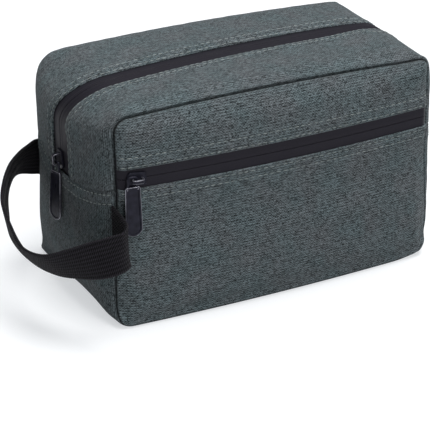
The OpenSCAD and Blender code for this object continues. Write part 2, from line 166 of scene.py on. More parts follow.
# SLIDERS AND PULLERS: heights are from the face of the tape
SLIDER_L = 11.5
SLIDER_W = 9.2
RUN_GAP = 0.25
PLATE_TOP = 1.45
UNDER_TOP = -2.5
UNDER_T = 1.0
UNDER_SHORT = 0.6
UNDER_NARROW = 0.4
PLATE_R = 0.5
POST_X = 0.12 * SLIDER_L
POST_L = 0.26 * SLIDER_L
POST_W = 0.8
FLANGE_T = 0.8
FLANGE_IN = 0.6
# how deep one part of a casting runs into the next
ROOT = 0.1
BRIDGE_ROOT = 0.4
BRIDGE_IN = 2.6
BRIDGE_T = 1.2
BRIDGE_W = 2.4
BRIDGE_GAP = 3.6
BRIDGE_R = 2.2
BRIDGE_HOLE_R = 1.1
BAR_R = 0.7
BAR_GAP = 0.3
BAR_SIDES = 14
EYE_MID = 2.8
EYE_TURN_R = 1.6
ARM_ROOT = 0.6
NECK = 6.1
PULLER_L = 38.0
PULLER_TOP_W = 9.2
PULLER_TIP_W = 10.8
PULLER_T = 1.5
SHOULDER_R = 1.2
RIM_W = 1.25
RIM_SLOPE = 0.35
PANEL_SINK = 0.38
# the tip is an arc of twice this many degrees, and the outer face slopes away towards it
TIP_TURN = 80.0
TIP_FROM = 31.0
TIP_DROP = 0.8
PULLER_TWIST = 18.0
PULLER_LEAN = 5.0
MAIN_DROP = 1.55
FRONT_RISE = 0.4
MAIN_LIFT = PLATE_TOP + BRIDGE_GAP - MAIN_DROP
FRONT_LIFT = PLATE_TOP + BAR_R + FRONT_RISE
END_FACE_X = HALF_L + END_CROWN + GUSSET_ROLL - TAPE_D
MAIN_SLIDER_Z = 88.25
ZIP_BOW = FRONT_CROWN * (1 - (2 * FRONT_ZIP_Z / BAG_H - 1) ** 4)
ZIP_ARC_R = HALF_L**2 / (2 * ZIP_BOW)
STOP_GAP = 0.3
FRONT_SLIDER_X = HALF_L - ZIP_END - SLIDER_L / 2 - STOP_GAP
FRONT_TURN = math.asin(FRONT_SLIDER_X / ZIP_ARC_R)
ZIP_FACE_Y = HALF_W + ROLL_H + ZIP_BOW - TAPE_D

# FABRIC
WARP = 0.9
WEFT = 0.84
FLECK = (0.8, 2.2, 1.0)  # flecks of dyed fibre to the millimetre, along and across their lie
FLECK_TURN = -0.15

# WRIST LOOP
STRAP_W = 25.0
STRAP_T = 1.8
STRAP_Z = 68.0
STRAP_REACH = 45.0
STRAP_SAG = 23.0
STRAP_GAP = 0.1
# the webbing runs level where it is sewn in, and takes up its slope over this length
STRAP_LEVEL = 26.0
RIB_PITCH = 1.4
RIB_SLANT = 0.8
RIB_STEPS = 7
RIB_H = 0.12  # share of the webbing's thickness
# shares of the reach, of the half depth and of the sag, then the outward lean in degrees
STRAP_ROUTE = np.array([
    (0.007, -0.99, 0, 0), (-0.022, -1.14, 0.126, 0), (-0.02, -1.26, 0.222, 0),
    (0.048, -1.33, 0.3, -1), (0.189, -1.32, 0.391, 0), (0.377, -1.22, 0.565, 5),
    (0.59, -1.05, 0.783, 22), (0.805, -0.83, 0.978, 37), (0.95, -0.55, 1, 36),
    (1, -0.26, 0.826, 20), (0.987, 0.04, 0.587, 10), (0.86, 0.31, 0.357, 3),
    (0.697, 0.56, 0.187, -8), (0.498, 0.77, 0.1, -19), (0.289, 0.94, 0.104, -24),
    (0.095, 1, 0.165, -7), (0, 0.995, 0.18, 0),
])

# STITCHING
STITCH_PITCH = 4.2
STITCH_L = 3.0
STITCH_W = 0.54
STITCH_WANDER = 0.35
STITCH_LIFT = 0.12

# HEMS: a round fold, a raised ridge and the groove of each sewn row
FOLD_W = 1.1
FOLD_TUCK = 0.75
END_TUCK = 0.25
HEM_W = 8.0
HEM_LIFT = 0.4
HEM_START = 1.2
HEM_FADE = 2.5
SEWN_W = 0.75
SEWN_D = 0.34
HEM_GATHER = 0.16
HEM_GATHER_W = 4.0
# gathers beside a seam: their height, how far they reach and where they start
PANEL_GATHERS = (0.3, 5.0, 0.6)
GUSSET_GATHERS = (0.25, 4.0, 0.5)

# FILLING: slack of the sewn sheets as a share of their length, and the push on them
SLACK = 0.012
PANEL_PUSH = 6.0
GUSSET_PUSH = 5.0
# the swell and the gathers start beyond a hem, and a hem ends at the seam that it runs into
HEM_HOLD = 6.0
GATHER_HOLD = 5.0
HEM_END = 3.0


# CURVES THAT THE PIECES SHARE


def smooth(t):
    c = np.clip(t, 0, 1)
    return c * c * (3 - 2 * c)


def rolled(t):
    c = np.clip(t, 0, 1)
    return c * (2 - c)


def mound(d, width):
    """Round rise from 0 to 1 that falls off within a width of its line."""
    return np.exp(-((d / width) ** 2))


def unit(v):
    return v / np.linalg.norm(v, axis=-1, keepdims=True)


def run_of(points):
    """Length along a line at each of its points."""
    return np.concatenate([[0], np.cumsum(np.linalg.norm(np.diff(points, axis=0), axis=1))])


def sampled(at, run, values):
    """Points or directions along a line, at given lengths."""
    return np.stack([np.interp(at, run, values[:, k]) for k in range(3)], -1)


def wavy(s):
    """Uneven ripple along a length, from about -1 to 1."""
    return (np.sin(s / 1.9 + 1.1) + 0.7 * np.sin(s / 1.23 + 2.3) + 0.8 * np.sin(s / 3.1 + 0.4)) / 2.5


def belly(z):
    """How far the filled sides spread at a height."""
    return BELLY * (1 - smooth((z - BELLY_FROM) / BELLY_FADE))


def half_len(z, inset=0.0):
    """Half length of the panel outline at a height, or of the line at a distance inside it."""
    up = np.maximum(z - (BAG_H - TOP_R), 0)
    down = np.maximum(BASE_R - z, 0)
    at_top = HALF_L - TOP_R + np.sqrt(np.maximum((TOP_R - inset) ** 2 - up**2, 0))
    at_base = HALF_L - BASE_R + np.sqrt(np.maximum((BASE_R - inset) ** 2 - down**2, 0))
    return np.minimum(at_top, at_base) + belly(z)


def inside(x, z):
    """Distance of a panel point inside the outline."""
    r = np.where(z > BAG_H / 2, TOP_R, BASE_R)
    qx = np.abs(x) - (HALF_L + belly(z) - r)
    qz = np.abs(z - BAG_H / 2) - (BAG_H / 2 - r)
    return r - np.hypot(np.maximum(qx, 0), np.maximum(qz, 0)) - np.minimum(np.maximum(qx, qz), 0)


def near_corner(aside, off, reach):
    """1 at a corner of the bag's outline, fading to 0 at its reach."""
    return 1 - smooth(np.hypot(aside, off) / reach)


def corners(x, y, z):
    """Corners as the filled bag stands: sharp at the top right and low rear left, soft at the other two."""
    left, right, up = HALF_L + x, HALF_L - x, BAG_H - z
    rear = smooth(y / REAR_FADE)
    sharp_top = (SHARP_TOP + SHARP_TOP_REAR * rear) * near_corner(right, up, SHARP_TOP_REACH)
    stand_out = STAND_OUT * near_corner(right, up, STAND_OUT_REACH) * rear
    soft_top = SOFT_TOP * near_corner(left, up, SOFT_TOP_REACH) * rear
    low_rear = smooth((y - SHARP_LOW_FROM) / SHARP_LOW_FADE)
    sharp_low = SHARP_LOW * near_corner(left, z, SHARP_LOW_REACH) * low_rear
    pull = near_corner(left, z, PULL_REACH) * smooth((y - PULL_FROM) / PULL_FADE)
    soft_low = SOFT_LOW * near_corner(right, z, SOFT_LOW_REACH)
    shift_x = stand_out + soft_top - sharp_low * (left + belly(z)) - PULL_LEFT * pull - soft_low
    shift_z = soft_low - soft_top - sharp_low * z
    return x + sharp_top * right + shift_x, y - PULL_FORWARD * pull, z + sharp_top * up + shift_z


def arched(x, y, z):
    """Point of the bag after its corners are shaped and its top is bowed up."""
    x, y, z = corners(x, y, z)
    t = np.maximum(0, (z / BAG_H - ARCH_FROM) / (1 - ARCH_FROM))
    lift = TOP_ARCH * np.maximum(0, 1 - (x / HALF_L) ** 2) * t * t
    return np.stack(np.broadcast_arrays(x, y, z + lift), axis=-1)


def groove(d):
    """Depth to which an edge turns in beside its seam."""
    return SEAM_TUCK * (1 - rolled(d / GROOVE_W)) ** 1.6


def under_lip(d):
    """How far the sewn line lies behind the lip of its edge."""
    return (SEAM_TUCK - SEAM_IN) * (1 - rolled(d / LIP_W)) ** 1.5


def foot(z):
    return FOOT * smooth((FOOT_H - z) / FOOT_H)


def front_roll(z):
    """Width of the front's edge roll, which narrows beside the zip."""
    near = smooth((ZIP_ROLL_REACH - np.abs(z - FRONT_ZIP_Z)) / ZIP_ROLL_FADE)
    return ROLL_W - (ROLL_W - ZIP_ROLL_W) * near


def rim(x, z, width=ROLL_W):
    """Outward height of a panel's edge: a shallow roll, spread at the foot, with the groove of the seam."""
    d = inside(x, z) - SEAM_IN
    roll = rolled(d / width)
    return ROLL_H * roll + foot(z) * (1 - roll) - groove(d)


def bowed(x):
    return np.maximum(0, 1 - (x / HALF_L) ** 2)


def crown(x, z, height):
    """Swell of a filled panel, which stays bowed at its foot."""
    flatness = np.where(z < BAG_H / 2, 1 - BASE_BOW, 1)
    return height * bowed(x) * (1 - flatness * (2 * z / BAG_H - 1) ** 4)


def lipped(x, z):
    """Panel place with its edge drawn in under the lip."""
    step = 0.05
    draw = under_lip(inside(x, z) - SEAM_IN) / (2 * step)
    return (x + draw * (inside(x + step, z) - inside(x - step, z)),
            z + draw * (inside(x, z + step) - inside(x, z - step)))


def front_face(x, z, lift=0.0):
    in_x, in_z = lipped(x, z)
    return arched(in_x, -HALF_W - rim(x, z, front_roll(z)) - crown(x, z, FRONT_CROWN) - lift, in_z)


def back_face(x, z, lift=0.0):
    in_x, in_z = lipped(x, z)
    return arched(in_x, HALF_W + rim(x, z) + crown(x, z, BACK_CROWN) + lift, in_z)


def pocket_face(x, z, depth):
    return arched(x, -HALF_W - crown(x, z, POCKET_CROWN) + depth, z)


TOP_FLAT = HALF_L - TOP_R
BASE_FLAT = HALF_L - BASE_R
TOP_TURN = TOP_R * math.pi / 2
BASE_TURN = BASE_R * math.pi / 2
LEG_L = BAG_H - TOP_R - SEAM_MID_Z


def along(s, flat, r):
    """Sideways place on a gusset at a length from its middle, run along the end, and which way it faces."""
    turn = np.clip((np.abs(s) - flat) / r, 0, math.pi / 2)
    run = np.maximum(np.abs(s) - flat - r * math.pi / 2, 0)
    side = np.sign(s)
    return side * (np.minimum(np.abs(s), flat) + r * np.sin(turn)), run, side * np.sin(turn), np.cos(turn)


def along_top(s, y):
    """The top way, with a corner that gets rounder towards the middle of the strip."""
    x, run, nx, nz = along(s, TOP_FLAT, TOP_R)
    z = BAG_H - TOP_R * (1 - nz) - run
    rounder = np.where(s < 0, CORNER_ROUND, RIGHT_ROUND) * (1 - (y / HALF_W) ** 2)
    on_flat = np.abs(s) < TOP_FLAT
    on_leg = np.abs(s) > TOP_FLAT + TOP_TURN
    inward = np.where(on_flat, np.abs(s) / TOP_FLAT, 1 - np.abs(nx))
    down = np.where(on_leg, np.maximum(1 - run / LEG_L, 0), 1 - nz)
    return x - np.sign(s) * rounder * inward + nx * belly(z), z - rounder * down, nx, nz


def along_base(s, y):
    x, run, nx, nz = along(s, BASE_FLAT, BASE_R)
    z = BASE_R * (1 - nz) + run
    return x + nx * belly(z), z, nx, -nz


def gusset_face(way, s, y, lift=0.0):
    """Point of the strip that runs round the bag, at a length along it and a place across it."""
    x, z, nx, nz = way(s, y)
    swell = TOP_CROWN * np.maximum(nz, 0) ** 2 + END_CROWN * smooth(z / (SWELL_TO * BAG_H)) * nx**2
    d = GUSSET_EDGE - np.abs(y)
    free = np.where(nz < 0, nx**2, 1)
    low = np.where(nz > 0, 1, smooth((z - 1) / BASE_R) * free)
    ridge = (RIGHT_RIDGE * mound(d - RIDGE_IN, RIDGE_W) * np.maximum(nx, 0) ** 2
             * smooth((z - RIDGE_FROM) / RIDGE_FADE))
    out = swell * (1 - (y / HALF_W) ** 2) + GUSSET_ROLL * low * rolled(d / GUSSET_ROLL_W) + ridge
    out = out - groove(d) + lift * free
    bow = BASE_BOW * np.where(y < 0, FRONT_CROWN, BACK_CROWN) * bowed(x) * (nz < 0)
    across = y + y / GUSSET_EDGE * (foot(z) + bow - under_lip(d))
    return arched(x + nx * out, across, z + nz * out)


def top_face(s, y, lift=0.0):
    return gusset_face(along_top, s, y, lift)


def base_face(s, y, lift=0.0):
    return gusset_face(along_base, s, y, lift)


def zip_y(s):
    """Sideways place of the main zip: straight on the ends, leaning over the top."""
    x, _, _, nz = along_top(s, HALF_W)
    return (ZIP_SHIFT + ZIP_LEAN * x / HALF_L) * smooth(nz)


def seam_z(y):
    """Height of the lapped seam at each end."""
    return SEAM_MID_Z + SEAM_RISE * (np.abs(y) / HALF_W) ** 2.2


def top_reach(y):
    return TOP_FLAT + TOP_TURN + BAG_H - TOP_R - seam_z(y)


def base_reach(y):
    return BASE_FLAT + BASE_TURN + seam_z(y) - BASE_R


def hem(e, s, rows, tuck=FOLD_TUCK):
    """Relief of a folded and topstitched edge, at a distance from the fold and a length along it."""
    fold = -tuck * (1 - rolled(e / FOLD_W))
    ridge = HEM_LIFT * smooth(e / HEM_START) * (1 - smooth((e - HEM_W) / HEM_FADE))
    grooves = sum(mound(e - r, SEWN_W) for r in rows)
    ripple = HEM_GATHER * wavy(s * 1.3) * mound(e - sum(rows) / len(rows), HEM_GATHER_W)
    return fold + ridge - SEWN_D * grooves + ripple


def gathers(run, d, height, reach, start):
    """Small gathers that a seam leaves, at a length along it and a distance from it."""
    return height * wavy(run * 0.8) * np.exp(-d / reach) * smooth((d - start) / 2)


# SPACING OF THE GRIDS


def spread(count, ends):
    """Shares from -1 to 1, closer together towards both ends."""
    t = np.linspace(-1, 1, count)
    return (1 - ends) * t + ends * np.sin(t * math.pi / 2)


def spans(*parts):
    """Places through several spans of (from, to, count), each starting where the last ended."""
    lines = [np.linspace(*part) for part in parts]
    return np.concatenate([lines[0]] + [line[1:] for line in lines[1:]])


def steps(*parts):
    """Places through several spans of (from, to, step), each starting where the last ended."""
    return spans(*((a, b, max(2, round(abs(b - a) / step) + 1)) for a, b, step in parts))


def bend_steps(r, count):
    """Heights through a quarter round, by equal turns."""
    return r * (1 - np.cos(np.linspace(0, math.pi / 2, count)))


# PIECES


def added(name, mesh, material):
    piece = bpy.data.objects.new(name, mesh)
    bpy.context.scene.collection.objects.link(piece)
    mesh.materials.append(material)
    return piece


def grid_mesh(name, points, yarn=None, seam=None):
    """Mesh of a grid of points in millimetres, with maps of the yarn's run and the distance to the seam."""
    rows, cols = points.shape[:2]
    bm = bmesh.new()
    bmesh.ops.create_grid(bm, x_segments=cols - 1, y_segments=rows - 1, size=1)
    mesh = bpy.data.meshes.new(name)
    bm.to_mesh(mesh)
    bm.free()
    flat = np.empty(len(mesh.vertices) * 3)
    mesh.vertices.foreach_get("co", flat)
    col = np.rint((flat[0::3] + 1) / 2 * (cols - 1)).astype(int)
    row = np.rint((flat[1::3] + 1) / 2 * (rows - 1)).astype(int)
    mesh.vertices.foreach_set("co", (points[row, col] * MM).ravel())
    if yarn is not None:
        corner = np.empty(len(mesh.loops), dtype=np.int32)
        mesh.loops.foreach_get("vertex_index", corner)
        uv = yarn[row, col][corner]
        mesh.uv_layers.new(name="yarn").data.foreach_set("uv", uv.ravel())
    if seam is not None:
        far = np.repeat(seam[row, col][corner], 2)
        mesh.uv_layers.new(name="seam").data.foreach_set("uv", far)
    mesh.shade_smooth()
    mesh.update()
    return mesh


def laid(points, along_way, across_way):
    """Yarn map measured on the cloth itself, so that the weave isn't drawn out where the cloth turns."""
    rows, columns = along_way.shape
    run = np.zeros((rows, columns))
    run[:, 1:] = np.cumsum(np.linalg.norm(np.diff(points, axis=1), axis=-1), axis=1)
    climb = np.zeros((rows, columns))
    climb[1:] = np.cumsum(np.linalg.norm(np.diff(points, axis=0), axis=-1), axis=0)
    u = run - run[:, columns // 2, None] + along_way[:, columns // 2, None]
    turn = np.sign(across_way[-1, columns // 2] - across_way[0, columns // 2])
    v = turn * (climb - climb[None, rows // 2]) + across_way[None, rows // 2]
    return np.stack([u, v], -1)


def cloth(name, points, yarn, material, facing=1, thickness=SHELL_T, seam=None):
    """A cut piece of fabric through a grid of points, with its thickness inwards."""
    mesh = grid_mesh(name, points, yarn, seam)
    if facing < 0:
        mesh.flip_normals()
    piece = added(name, mesh, material)
    wall = piece.modifiers.new("thickness", "SOLIDIFY")
    wall.thickness = thickness * MM
    wall.offset = -1
    return piece


def settle(points, facing, push, cap):
    """Rise of a slightly slack sheet, sewn at its edges and pushed out by the filling, up to a cap."""
    rows, cols = points.shape[:2]
    size_up = 10
    mesh = grid_mesh("settling", points * size_up)
    if facing < 0:
        mesh.flip_normals()
    piece = bpy.data.objects.new("settling", mesh)
    bpy.context.scene.collection.objects.link(piece)
    before = np.empty(len(mesh.vertices) * 3)
    normals = np.empty(len(mesh.vertices) * 3)
    mesh.vertices.foreach_get("co", before)
    mesh.vertex_normals.foreach_get("vector", normals)
    held = piece.vertex_groups.new(name="sewn")
    edge = [j * cols + i for j in range(rows) for i in range(cols)
            if i in (0, cols - 1) or j in (0, rows - 1)]
    held.add(edge, 1.0, "REPLACE")
    sim = piece.modifiers.new("cloth", "CLOTH")
    sim.settings.quality = 6
    sim.settings.mass = 0.4
    sim.settings.tension_stiffness = 25
    sim.settings.compression_stiffness = 25
    sim.settings.shear_stiffness = 12
    sim.settings.bending_stiffness = 2.5
    sim.settings.air_damping = 2
    sim.settings.shrink_min = -SLACK
    sim.settings.use_pressure = True
    sim.settings.uniform_pressure_force = push
    sim.settings.vertex_group_mass = "sewn"
    sim.settings.effector_weights.gravity = 0
    sim.collision_settings.use_collision = False
    scene = bpy.context.scene
    last = 24
    sim.point_cache.frame_start = 1
    sim.point_cache.frame_end = last
    for now in range(1, last + 1):
        scene.frame_set(now)
    shaped = piece.evaluated_get(bpy.context.evaluated_depsgraph_get()).to_mesh()
    after = np.empty(len(before))
    shaped.vertices.foreach_get("co", after)
    piece.to_mesh_clear()
    scene.frame_set(1)
    bpy.data.objects.remove(piece)
    bpy.data.meshes.remove(mesh)
    move = ((after - before) * normals).reshape(-1, 3).sum(1).reshape(rows, cols)
    rise = move / MM / size_up
    return cap * np.tanh(rise / cap)


def finer(field, times=4):
    """A rounder, closer grid of a field, so that its steps don't show."""
    for axis in (0, 1):
        n = field.shape[axis]
        at = np.linspace(0, n - 1, (n - 1) * times + 1)
        field = np.apply_along_axis(lambda line: np.interp(at, np.arange(n), line), axis, field)
    for _ in range(2 * times):
        field = np.pad(field, 1, mode="edge")
        field = (field[:-2] + 2 * field[1:-1] + field[2:]) / 4
        field = (field[:, :-2] + 2 * field[:, 1:-1] + field[:, 2:]) / 4
    return field


def lookup(field, a, b):
    """Value of a field at shares a (-1 to 1) along its columns and b (0 to 1) along its rows."""
    rows, cols = field.shape
    u = np.clip((a + 1) / 2, 0, 1) * (cols - 1)
    v = np.clip(b, 0, 1) * (rows - 1)
    i = np.minimum(u.astype(int), cols - 2)
    j = np.minimum(v.astype(int), rows - 2)
    u, v = u - i, v - j
    low = field[j, i] * (1 - u) + field[j, i + 1] * u
    high = field[j + 1, i] * (1 - u) + field[j + 1, i + 1] * u
    return low * (1 - v) + high * v


def sewn_to(piece, body, slot, *nodes):
    """Puts a piece on its body and hides the solids that it stands for."""
    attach(piece, body)
    if nodes:
        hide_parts(*nodes)
    return piece


# STITCHES


def stitches(name, rows, material, width):
    """Thread showing along sewn rows: each row is its points and its outward directions."""
    bm = bmesh.new()
    for points, outward in rows:
        run = run_of(points)
        count = int(run[-1] / STITCH_PITCH)
        at = (np.arange(count) + 0.5) * run[-1] / count + STITCH_WANDER * wavy(np.arange(count) * 5.0)
        place = sampled(at, run, points)
        ahead = sampled(at + 0.3, run, points)
        up = sampled(at, run, outward)
        for p, q, n in zip(place, ahead, up):
            t = Vector(q - p).normalized()
            n = Vector(n).normalized()
            b = n.cross(t).normalized()
            turn = Matrix((b * width / 2, n * width / 3, t * STITCH_L / 2)).transposed()
            spot = turn.to_4x4()
            spot.translation = Vector(p) + n * STITCH_LIFT
            bmesh.ops.create_uvsphere(bm, u_segments=6, v_segments=4, radius=1,
                                      matrix=Matrix.Scale(MM, 4) @ spot)
    mesh = bpy.data.meshes.new(name)
    bm.to_mesh(mesh)
    bm.free()
    mesh.shade_smooth()
    return added(name, mesh, material)


def sewn_row(face, u, v, facing=1):
    """Points and outward directions along a row on a face."""
    step = 0.4
    p = face(u, v)
    n = np.cross(face(u + step, v) - p, face(u, v + step) - p) * facing
    return p, unit(n)


# SHADERS


class Link:
    """A shader value. Sums and products of these add their Math nodes."""

    def __init__(self, finish, socket):
        self.finish = finish
        self.socket = socket

    def math(self, operation, first, second):
        return self.finish.node("ShaderNodeMath", {"operation": operation}, {0: first, 1: second})

    def __add__(self, other):
        return self.math("ADD", self, other)

    def __radd__(self, other):
        return self.math("ADD", other, self)

    def __sub__(self, other):
        return self.math("SUBTRACT", self, other)

    def __rsub__(self, other):
        return self.math("SUBTRACT", other, self)

    def __mul__(self, other):
        return self.math("MULTIPLY", self, other)

    def __rmul__(self, other):
        return self.math("MULTIPLY", other, self)


class Finish:
    """A material and the nodes that feed its shader."""

    def __init__(self, name, **constants):
        self.material = bpy.data.materials.new(name)
        self.material.use_nodes = True
        self.tree = self.material.node_tree
        self.shader = self.tree.nodes["Principled BSDF"]
        for socket, value in constants.items():
            self.shader.inputs[socket.replace("_", " ").title().replace("Ior", "IOR")].default_value = value

    def node(self, kind, settings, sockets, output=0):
        made = self.tree.nodes.new(kind)
        for key, value in settings.items():
            setattr(made, key, value)
        for key, value in sockets.items():
            self.feed(made.inputs[key], value)
        return Link(self, made.outputs[output])

    def feed(self, socket, value):
        if isinstance(value, Link):
            self.tree.links.new(value.socket, socket)
        else:
            socket.default_value = value

    def set(self, socket, value):
        self.feed(self.shader.inputs[socket], value)

    def yarn(self):
        return self.node("ShaderNodeUVMap", {"uv_map": "yarn"}, {}, "UV")

    def seam(self):
        return self.split(self.node("ShaderNodeUVMap", {"uv_map": "seam"}, {}, "UV"))[0]

    def place(self):
        return self.node("ShaderNodeTexCoord", {}, {}, "Object")

    def stretched(self, vector, scale, turn=0.0):
        sockets = {"Vector": vector, "Scale": scale, "Rotation": (0, 0, turn)}
        return self.node("ShaderNodeMapping", {}, sockets)

    def noise(self, vector, scale=1.0, detail=2.0, rough=0.5):
        sockets = {"Vector": vector, "Scale": scale, "Detail": detail, "Roughness": rough}
        return self.node("ShaderNodeTexNoise", {}, sockets, "Fac")

    def streaks(self, along_way, across_way, length, pitch):
        """Shade of every yarn in a set: it drifts along each yarn and jumps from one yarn to the next."""
        row = self.node("ShaderNodeMath", {"operation": "FLOOR"}, {0: across_way * (1 / pitch)})
        spot = self.node("ShaderNodeCombineXYZ", {}, {"X": along_way * (1 / length), "Y": row * 7.31})
        return self.between(self.noise(spot, detail=1), 0.34, 0.66)

    def between(self, value, low, high, out_low=0.0, out_high=1.0):
        sockets = {"Value": value, "From Min": low, "From Max": high, "To Min": out_low, "To Max": out_high}
        return self.node("ShaderNodeMapRange", {}, sockets)

    def mix(self, share, first, second, blend="MIX"):
        settings = {"data_type": "RGBA", "blend_type": blend}
        return self.node("ShaderNodeMix", settings, {0: share, 6: first, 7: second}, 2)

    def split(self, vector):
        apart = self.tree.nodes.new("ShaderNodeSeparateXYZ")
        self.tree.links.new(vector.socket, apart.inputs[0])
        return [Link(self, apart.outputs[k]) for k in range(3)]

    def wave(self, value, length, shift=0.0):
        """Even ripple from 0 to 1 with a given length."""
        turn = value * (2 * math.pi / length) + shift
        return self.node("ShaderNodeMath", {"operation": "SINE"}, {0: turn}) * 0.5 + 0.5

    def bump(self, height, distance, strength=1.0):
        sockets = {"Height": height, "Distance": distance, "Strength": strength}
        self.set("Normal", self.node("ShaderNodeBump", {}, sockets))


def shade(r, g, b):
    """Linear colour of an sRGB colour from 0 to 255."""
    lin = [c / 255 / 12.92 if c <= 10 else ((c / 255 + 0.055) / 1.055) ** 2.4 for c in (r, g, b)]
    return (*lin, 1.0)


def heather_fabric():
    """Two-tone plain weave: yarns pale and dark by turns, slanting flecks, a dye that drifts in hue, and
    painted shade along the seams.
    """
    f = Finish("heather_fabric", roughness=0.9, specular_ior_level=0.2,
               sheen_weight=0.05, sheen_roughness=0.5)
    yarn = f.yarn()
    u, v, _ = f.split(yarn)
    weft = f.streaks(u, v, 3.6, WEFT)
    warp = f.streaks(v, u, 1.6, WARP)
    flecks = f.stretched(f.stretched(yarn, (1, 1, 1), FLECK_TURN), FLECK)
    fleck = f.between(f.noise(flecks, detail=1), 0.38, 0.62)
    over = f.wave(u, 2 * WARP)
    under = f.wave(v, 2 * WEFT)
    weave = over * under + (1 - over) * (1 - under)
    tone = f.between(weft * 0.2 + warp * 0.15 + weave * 0.22 + under * 0.15 + fleck * 0.28, 0.26, 0.78)
    drift = f.between(f.noise(yarn, scale=0.045, detail=2), 0.35, 0.65)
    light = f.mix(drift, shade(115, 122, 126), shade(109, 123, 127))
    dark = f.mix(drift, shade(14, 16, 18), shade(10, 16, 18))
    # painted shade: within about a millimetre of the sewn line the cloth is darkened towards near black, in
    # uneven patches, as the shadow in the seam's groove
    seam_shade_patches = f.between(f.noise(yarn, scale=0.2), 0.3, 0.7, 0.65, 1.0)
    painted_seam_shade = f.between(f.seam(), 0.1, 1.1, 0.62, 0.0) * seam_shade_patches
    f.set("Base Color", f.mix(painted_seam_shade, f.mix(tone, dark, light), shade(9, 11, 12)))
    f.bump(weave * 0.7 + weft * 0.3, 0.0002, 0.8)
    return f.material


def lining_fabric():
    """Thin dark lining, smooth plain weave."""
    f = Finish("lining_fabric", roughness=0.7)
    yarn = f.yarn()
    u, v, _ = f.split(yarn)
    weave = f.wave(u, 0.35) * f.wave(v, 0.35)
    tone = f.noise(f.stretched(yarn, (0.3, 1.5, 1)))
    f.set("Base Color", f.mix(tone, shade(38, 40, 42), shade(54, 56, 58)))
    f.bump(weave + tone, 0.00008, 0.6)
    return f.material


def padding_foam():
    f = Finish("padding_foam", roughness=0.95)
    place = f.place()
    cells = f.noise(place, scale=1800.0, detail=3)
    f.set("Base Color", f.mix(cells, shade(196, 194, 182), shade(228, 226, 214)))
    f.bump(cells, 0.0003, 0.7)
    return f.material


def laminated_tape():
    """Zip tape with a smooth dark film, faintly lined along its run."""
    f = Finish("laminated_tape", specular_ior_level=0.09)
    yarn = f.yarn()
    grain = f.noise(f.stretched(yarn, (0.5, 3.0, 1)), detail=3)
    cloud = f.noise(yarn, scale=0.08)
    f.set("Base Color", f.mix(grain, shade(31, 30, 35), shade(42, 40, 48)))
    f.set("Roughness", f.between(cloud + grain, 0.7, 1.3, 0.48, 0.6))
    f.bump(grain, 0.00005, 0.5)
    return f.material


def black_coil():
    f = Finish("black_coil", roughness=0.45)
    tone = f.noise(f.place(), scale=900.0)
    f.set("Base Color", f.mix(tone, shade(20, 20, 22), shade(32, 32, 35)))
    f.bump(tone, 0.00005, 0.4)
    return f.material


def enamelled_metal():
    """Dark enamel over cast metal, with its rounded edges painted paler as a highlight, partly also wear
    where it is handled.
    """
    f = Finish("enamelled_metal", specular_ior_level=0.08, coat_weight=0.04, coat_roughness=0.2)
    place = f.place()
    grain = f.noise(f.stretched(place, (900, 900, 160)), detail=3)
    rub = f.noise(place, scale=260.0, detail=3)
    edge = f.split(f.node("ShaderNodeUVMap", {"uv_map": "rub"}, {}, "UV"))[0]
    # painted highlight: the rounded edges turn paler and more metallic in patches, standing in for the glints
    # that they catch, partly also bare metal where the enamel wears
    worn_edge_highlight = edge * f.between(rub, 0.35, 0.6, 0.5, 1.0)
    enamel = f.mix(f.between(rub, 0.4, 0.7), shade(31, 31, 40), shade(42, 42, 53))
    f.set("Base Color", f.mix(worn_edge_highlight, enamel, shade(138, 138, 146)))
    f.set("Metallic", worn_edge_highlight * 0.5 + 0.2)
    f.set("Roughness", f.between(grain, 0.3, 0.7, 0.26, 0.42))
    f.bump(grain, 0.00003, 0.35)
    return f.material


def black_webbing():
    """Ribbed black webbing: yarn bundles slant across the band and alternate along it."""
    f = Finish("black_webbing", roughness=0.7, specular_ior_level=0.08,
               sheen_weight=0.04, sheen_roughness=0.4)
    yarn = f.yarn()
    u, v, _ = f.split(yarn)
    rib = f.wave(u + v * RIB_SLANT, RIB_PITCH)
    bundle = f.wave(v, 2.6, 0.6)
    fibre = f.noise(f.stretched(yarn, (3.0, 1.2, 1)), detail=2)
    wear = f.noise(yarn, scale=0.12, detail=3)
    tone = f.between(rib * 0.6 + bundle * 0.4 + fibre * 0.4, 0.4, 1.1)
    f.set("Base Color", f.mix(tone, shade(4, 4, 5), f.mix(wear, shade(40, 38, 44), shade(53, 51, 57))))
    f.bump(rib + bundle * 0.4 + fibre * 0.4, 0.0005, 0.8)
    return f.material


def sewing_thread():
    f = Finish("sewing_thread", roughness=0.7, sheen_weight=0.1)
    place = f.place()
    fibres = f.noise(place, scale=1500.0, detail=1)
    twist = fibres * 0.4 + f.between(f.noise(place, scale=160.0), 0.35, 0.65, 0, 0.6)
    f.set("Base Color", f.mix(twist, shade(100, 110, 109), shade(152, 160, 158)))
    f.bump(twist, 0.0001, 0.5)
    return f.material


def binding_tape():
    """Black woven tape folded over the seam allowances."""
    f = Finish("binding_tape", roughness=0.8)
    yarn = f.yarn()
    rib = f.wave(f.split(yarn)[0], 0.8) * 0.6 + f.noise(f.stretched(yarn, (2.0, 1.0, 1))) * 0.6
    f.set("Base Color", f.mix(rib, shade(14, 14, 15), shade(34, 34, 37)))
    f.bump(rib, 0.0002, 0.6)
    return f.material


FABRIC = heather_fabric()
LINING = lining_fabric()
FOAM = padding_foam()
TAPE = laminated_tape()
COIL = black_coil()
METAL = enamelled_metal()
WEBBING = black_webbing()
THREAD = sewing_thread()
BOUND = binding_tape()


# FRONT AND BACK PANELS

COLUMNS = spread(240, 0.8)
COARSE = spread(62, 0.3)
ROWS_BELOW_ZIP = (2.2, 6.4)
ROWS_ABOVE_ZIP = (1.9, 7.6)
COARSE_STEP = 3.4
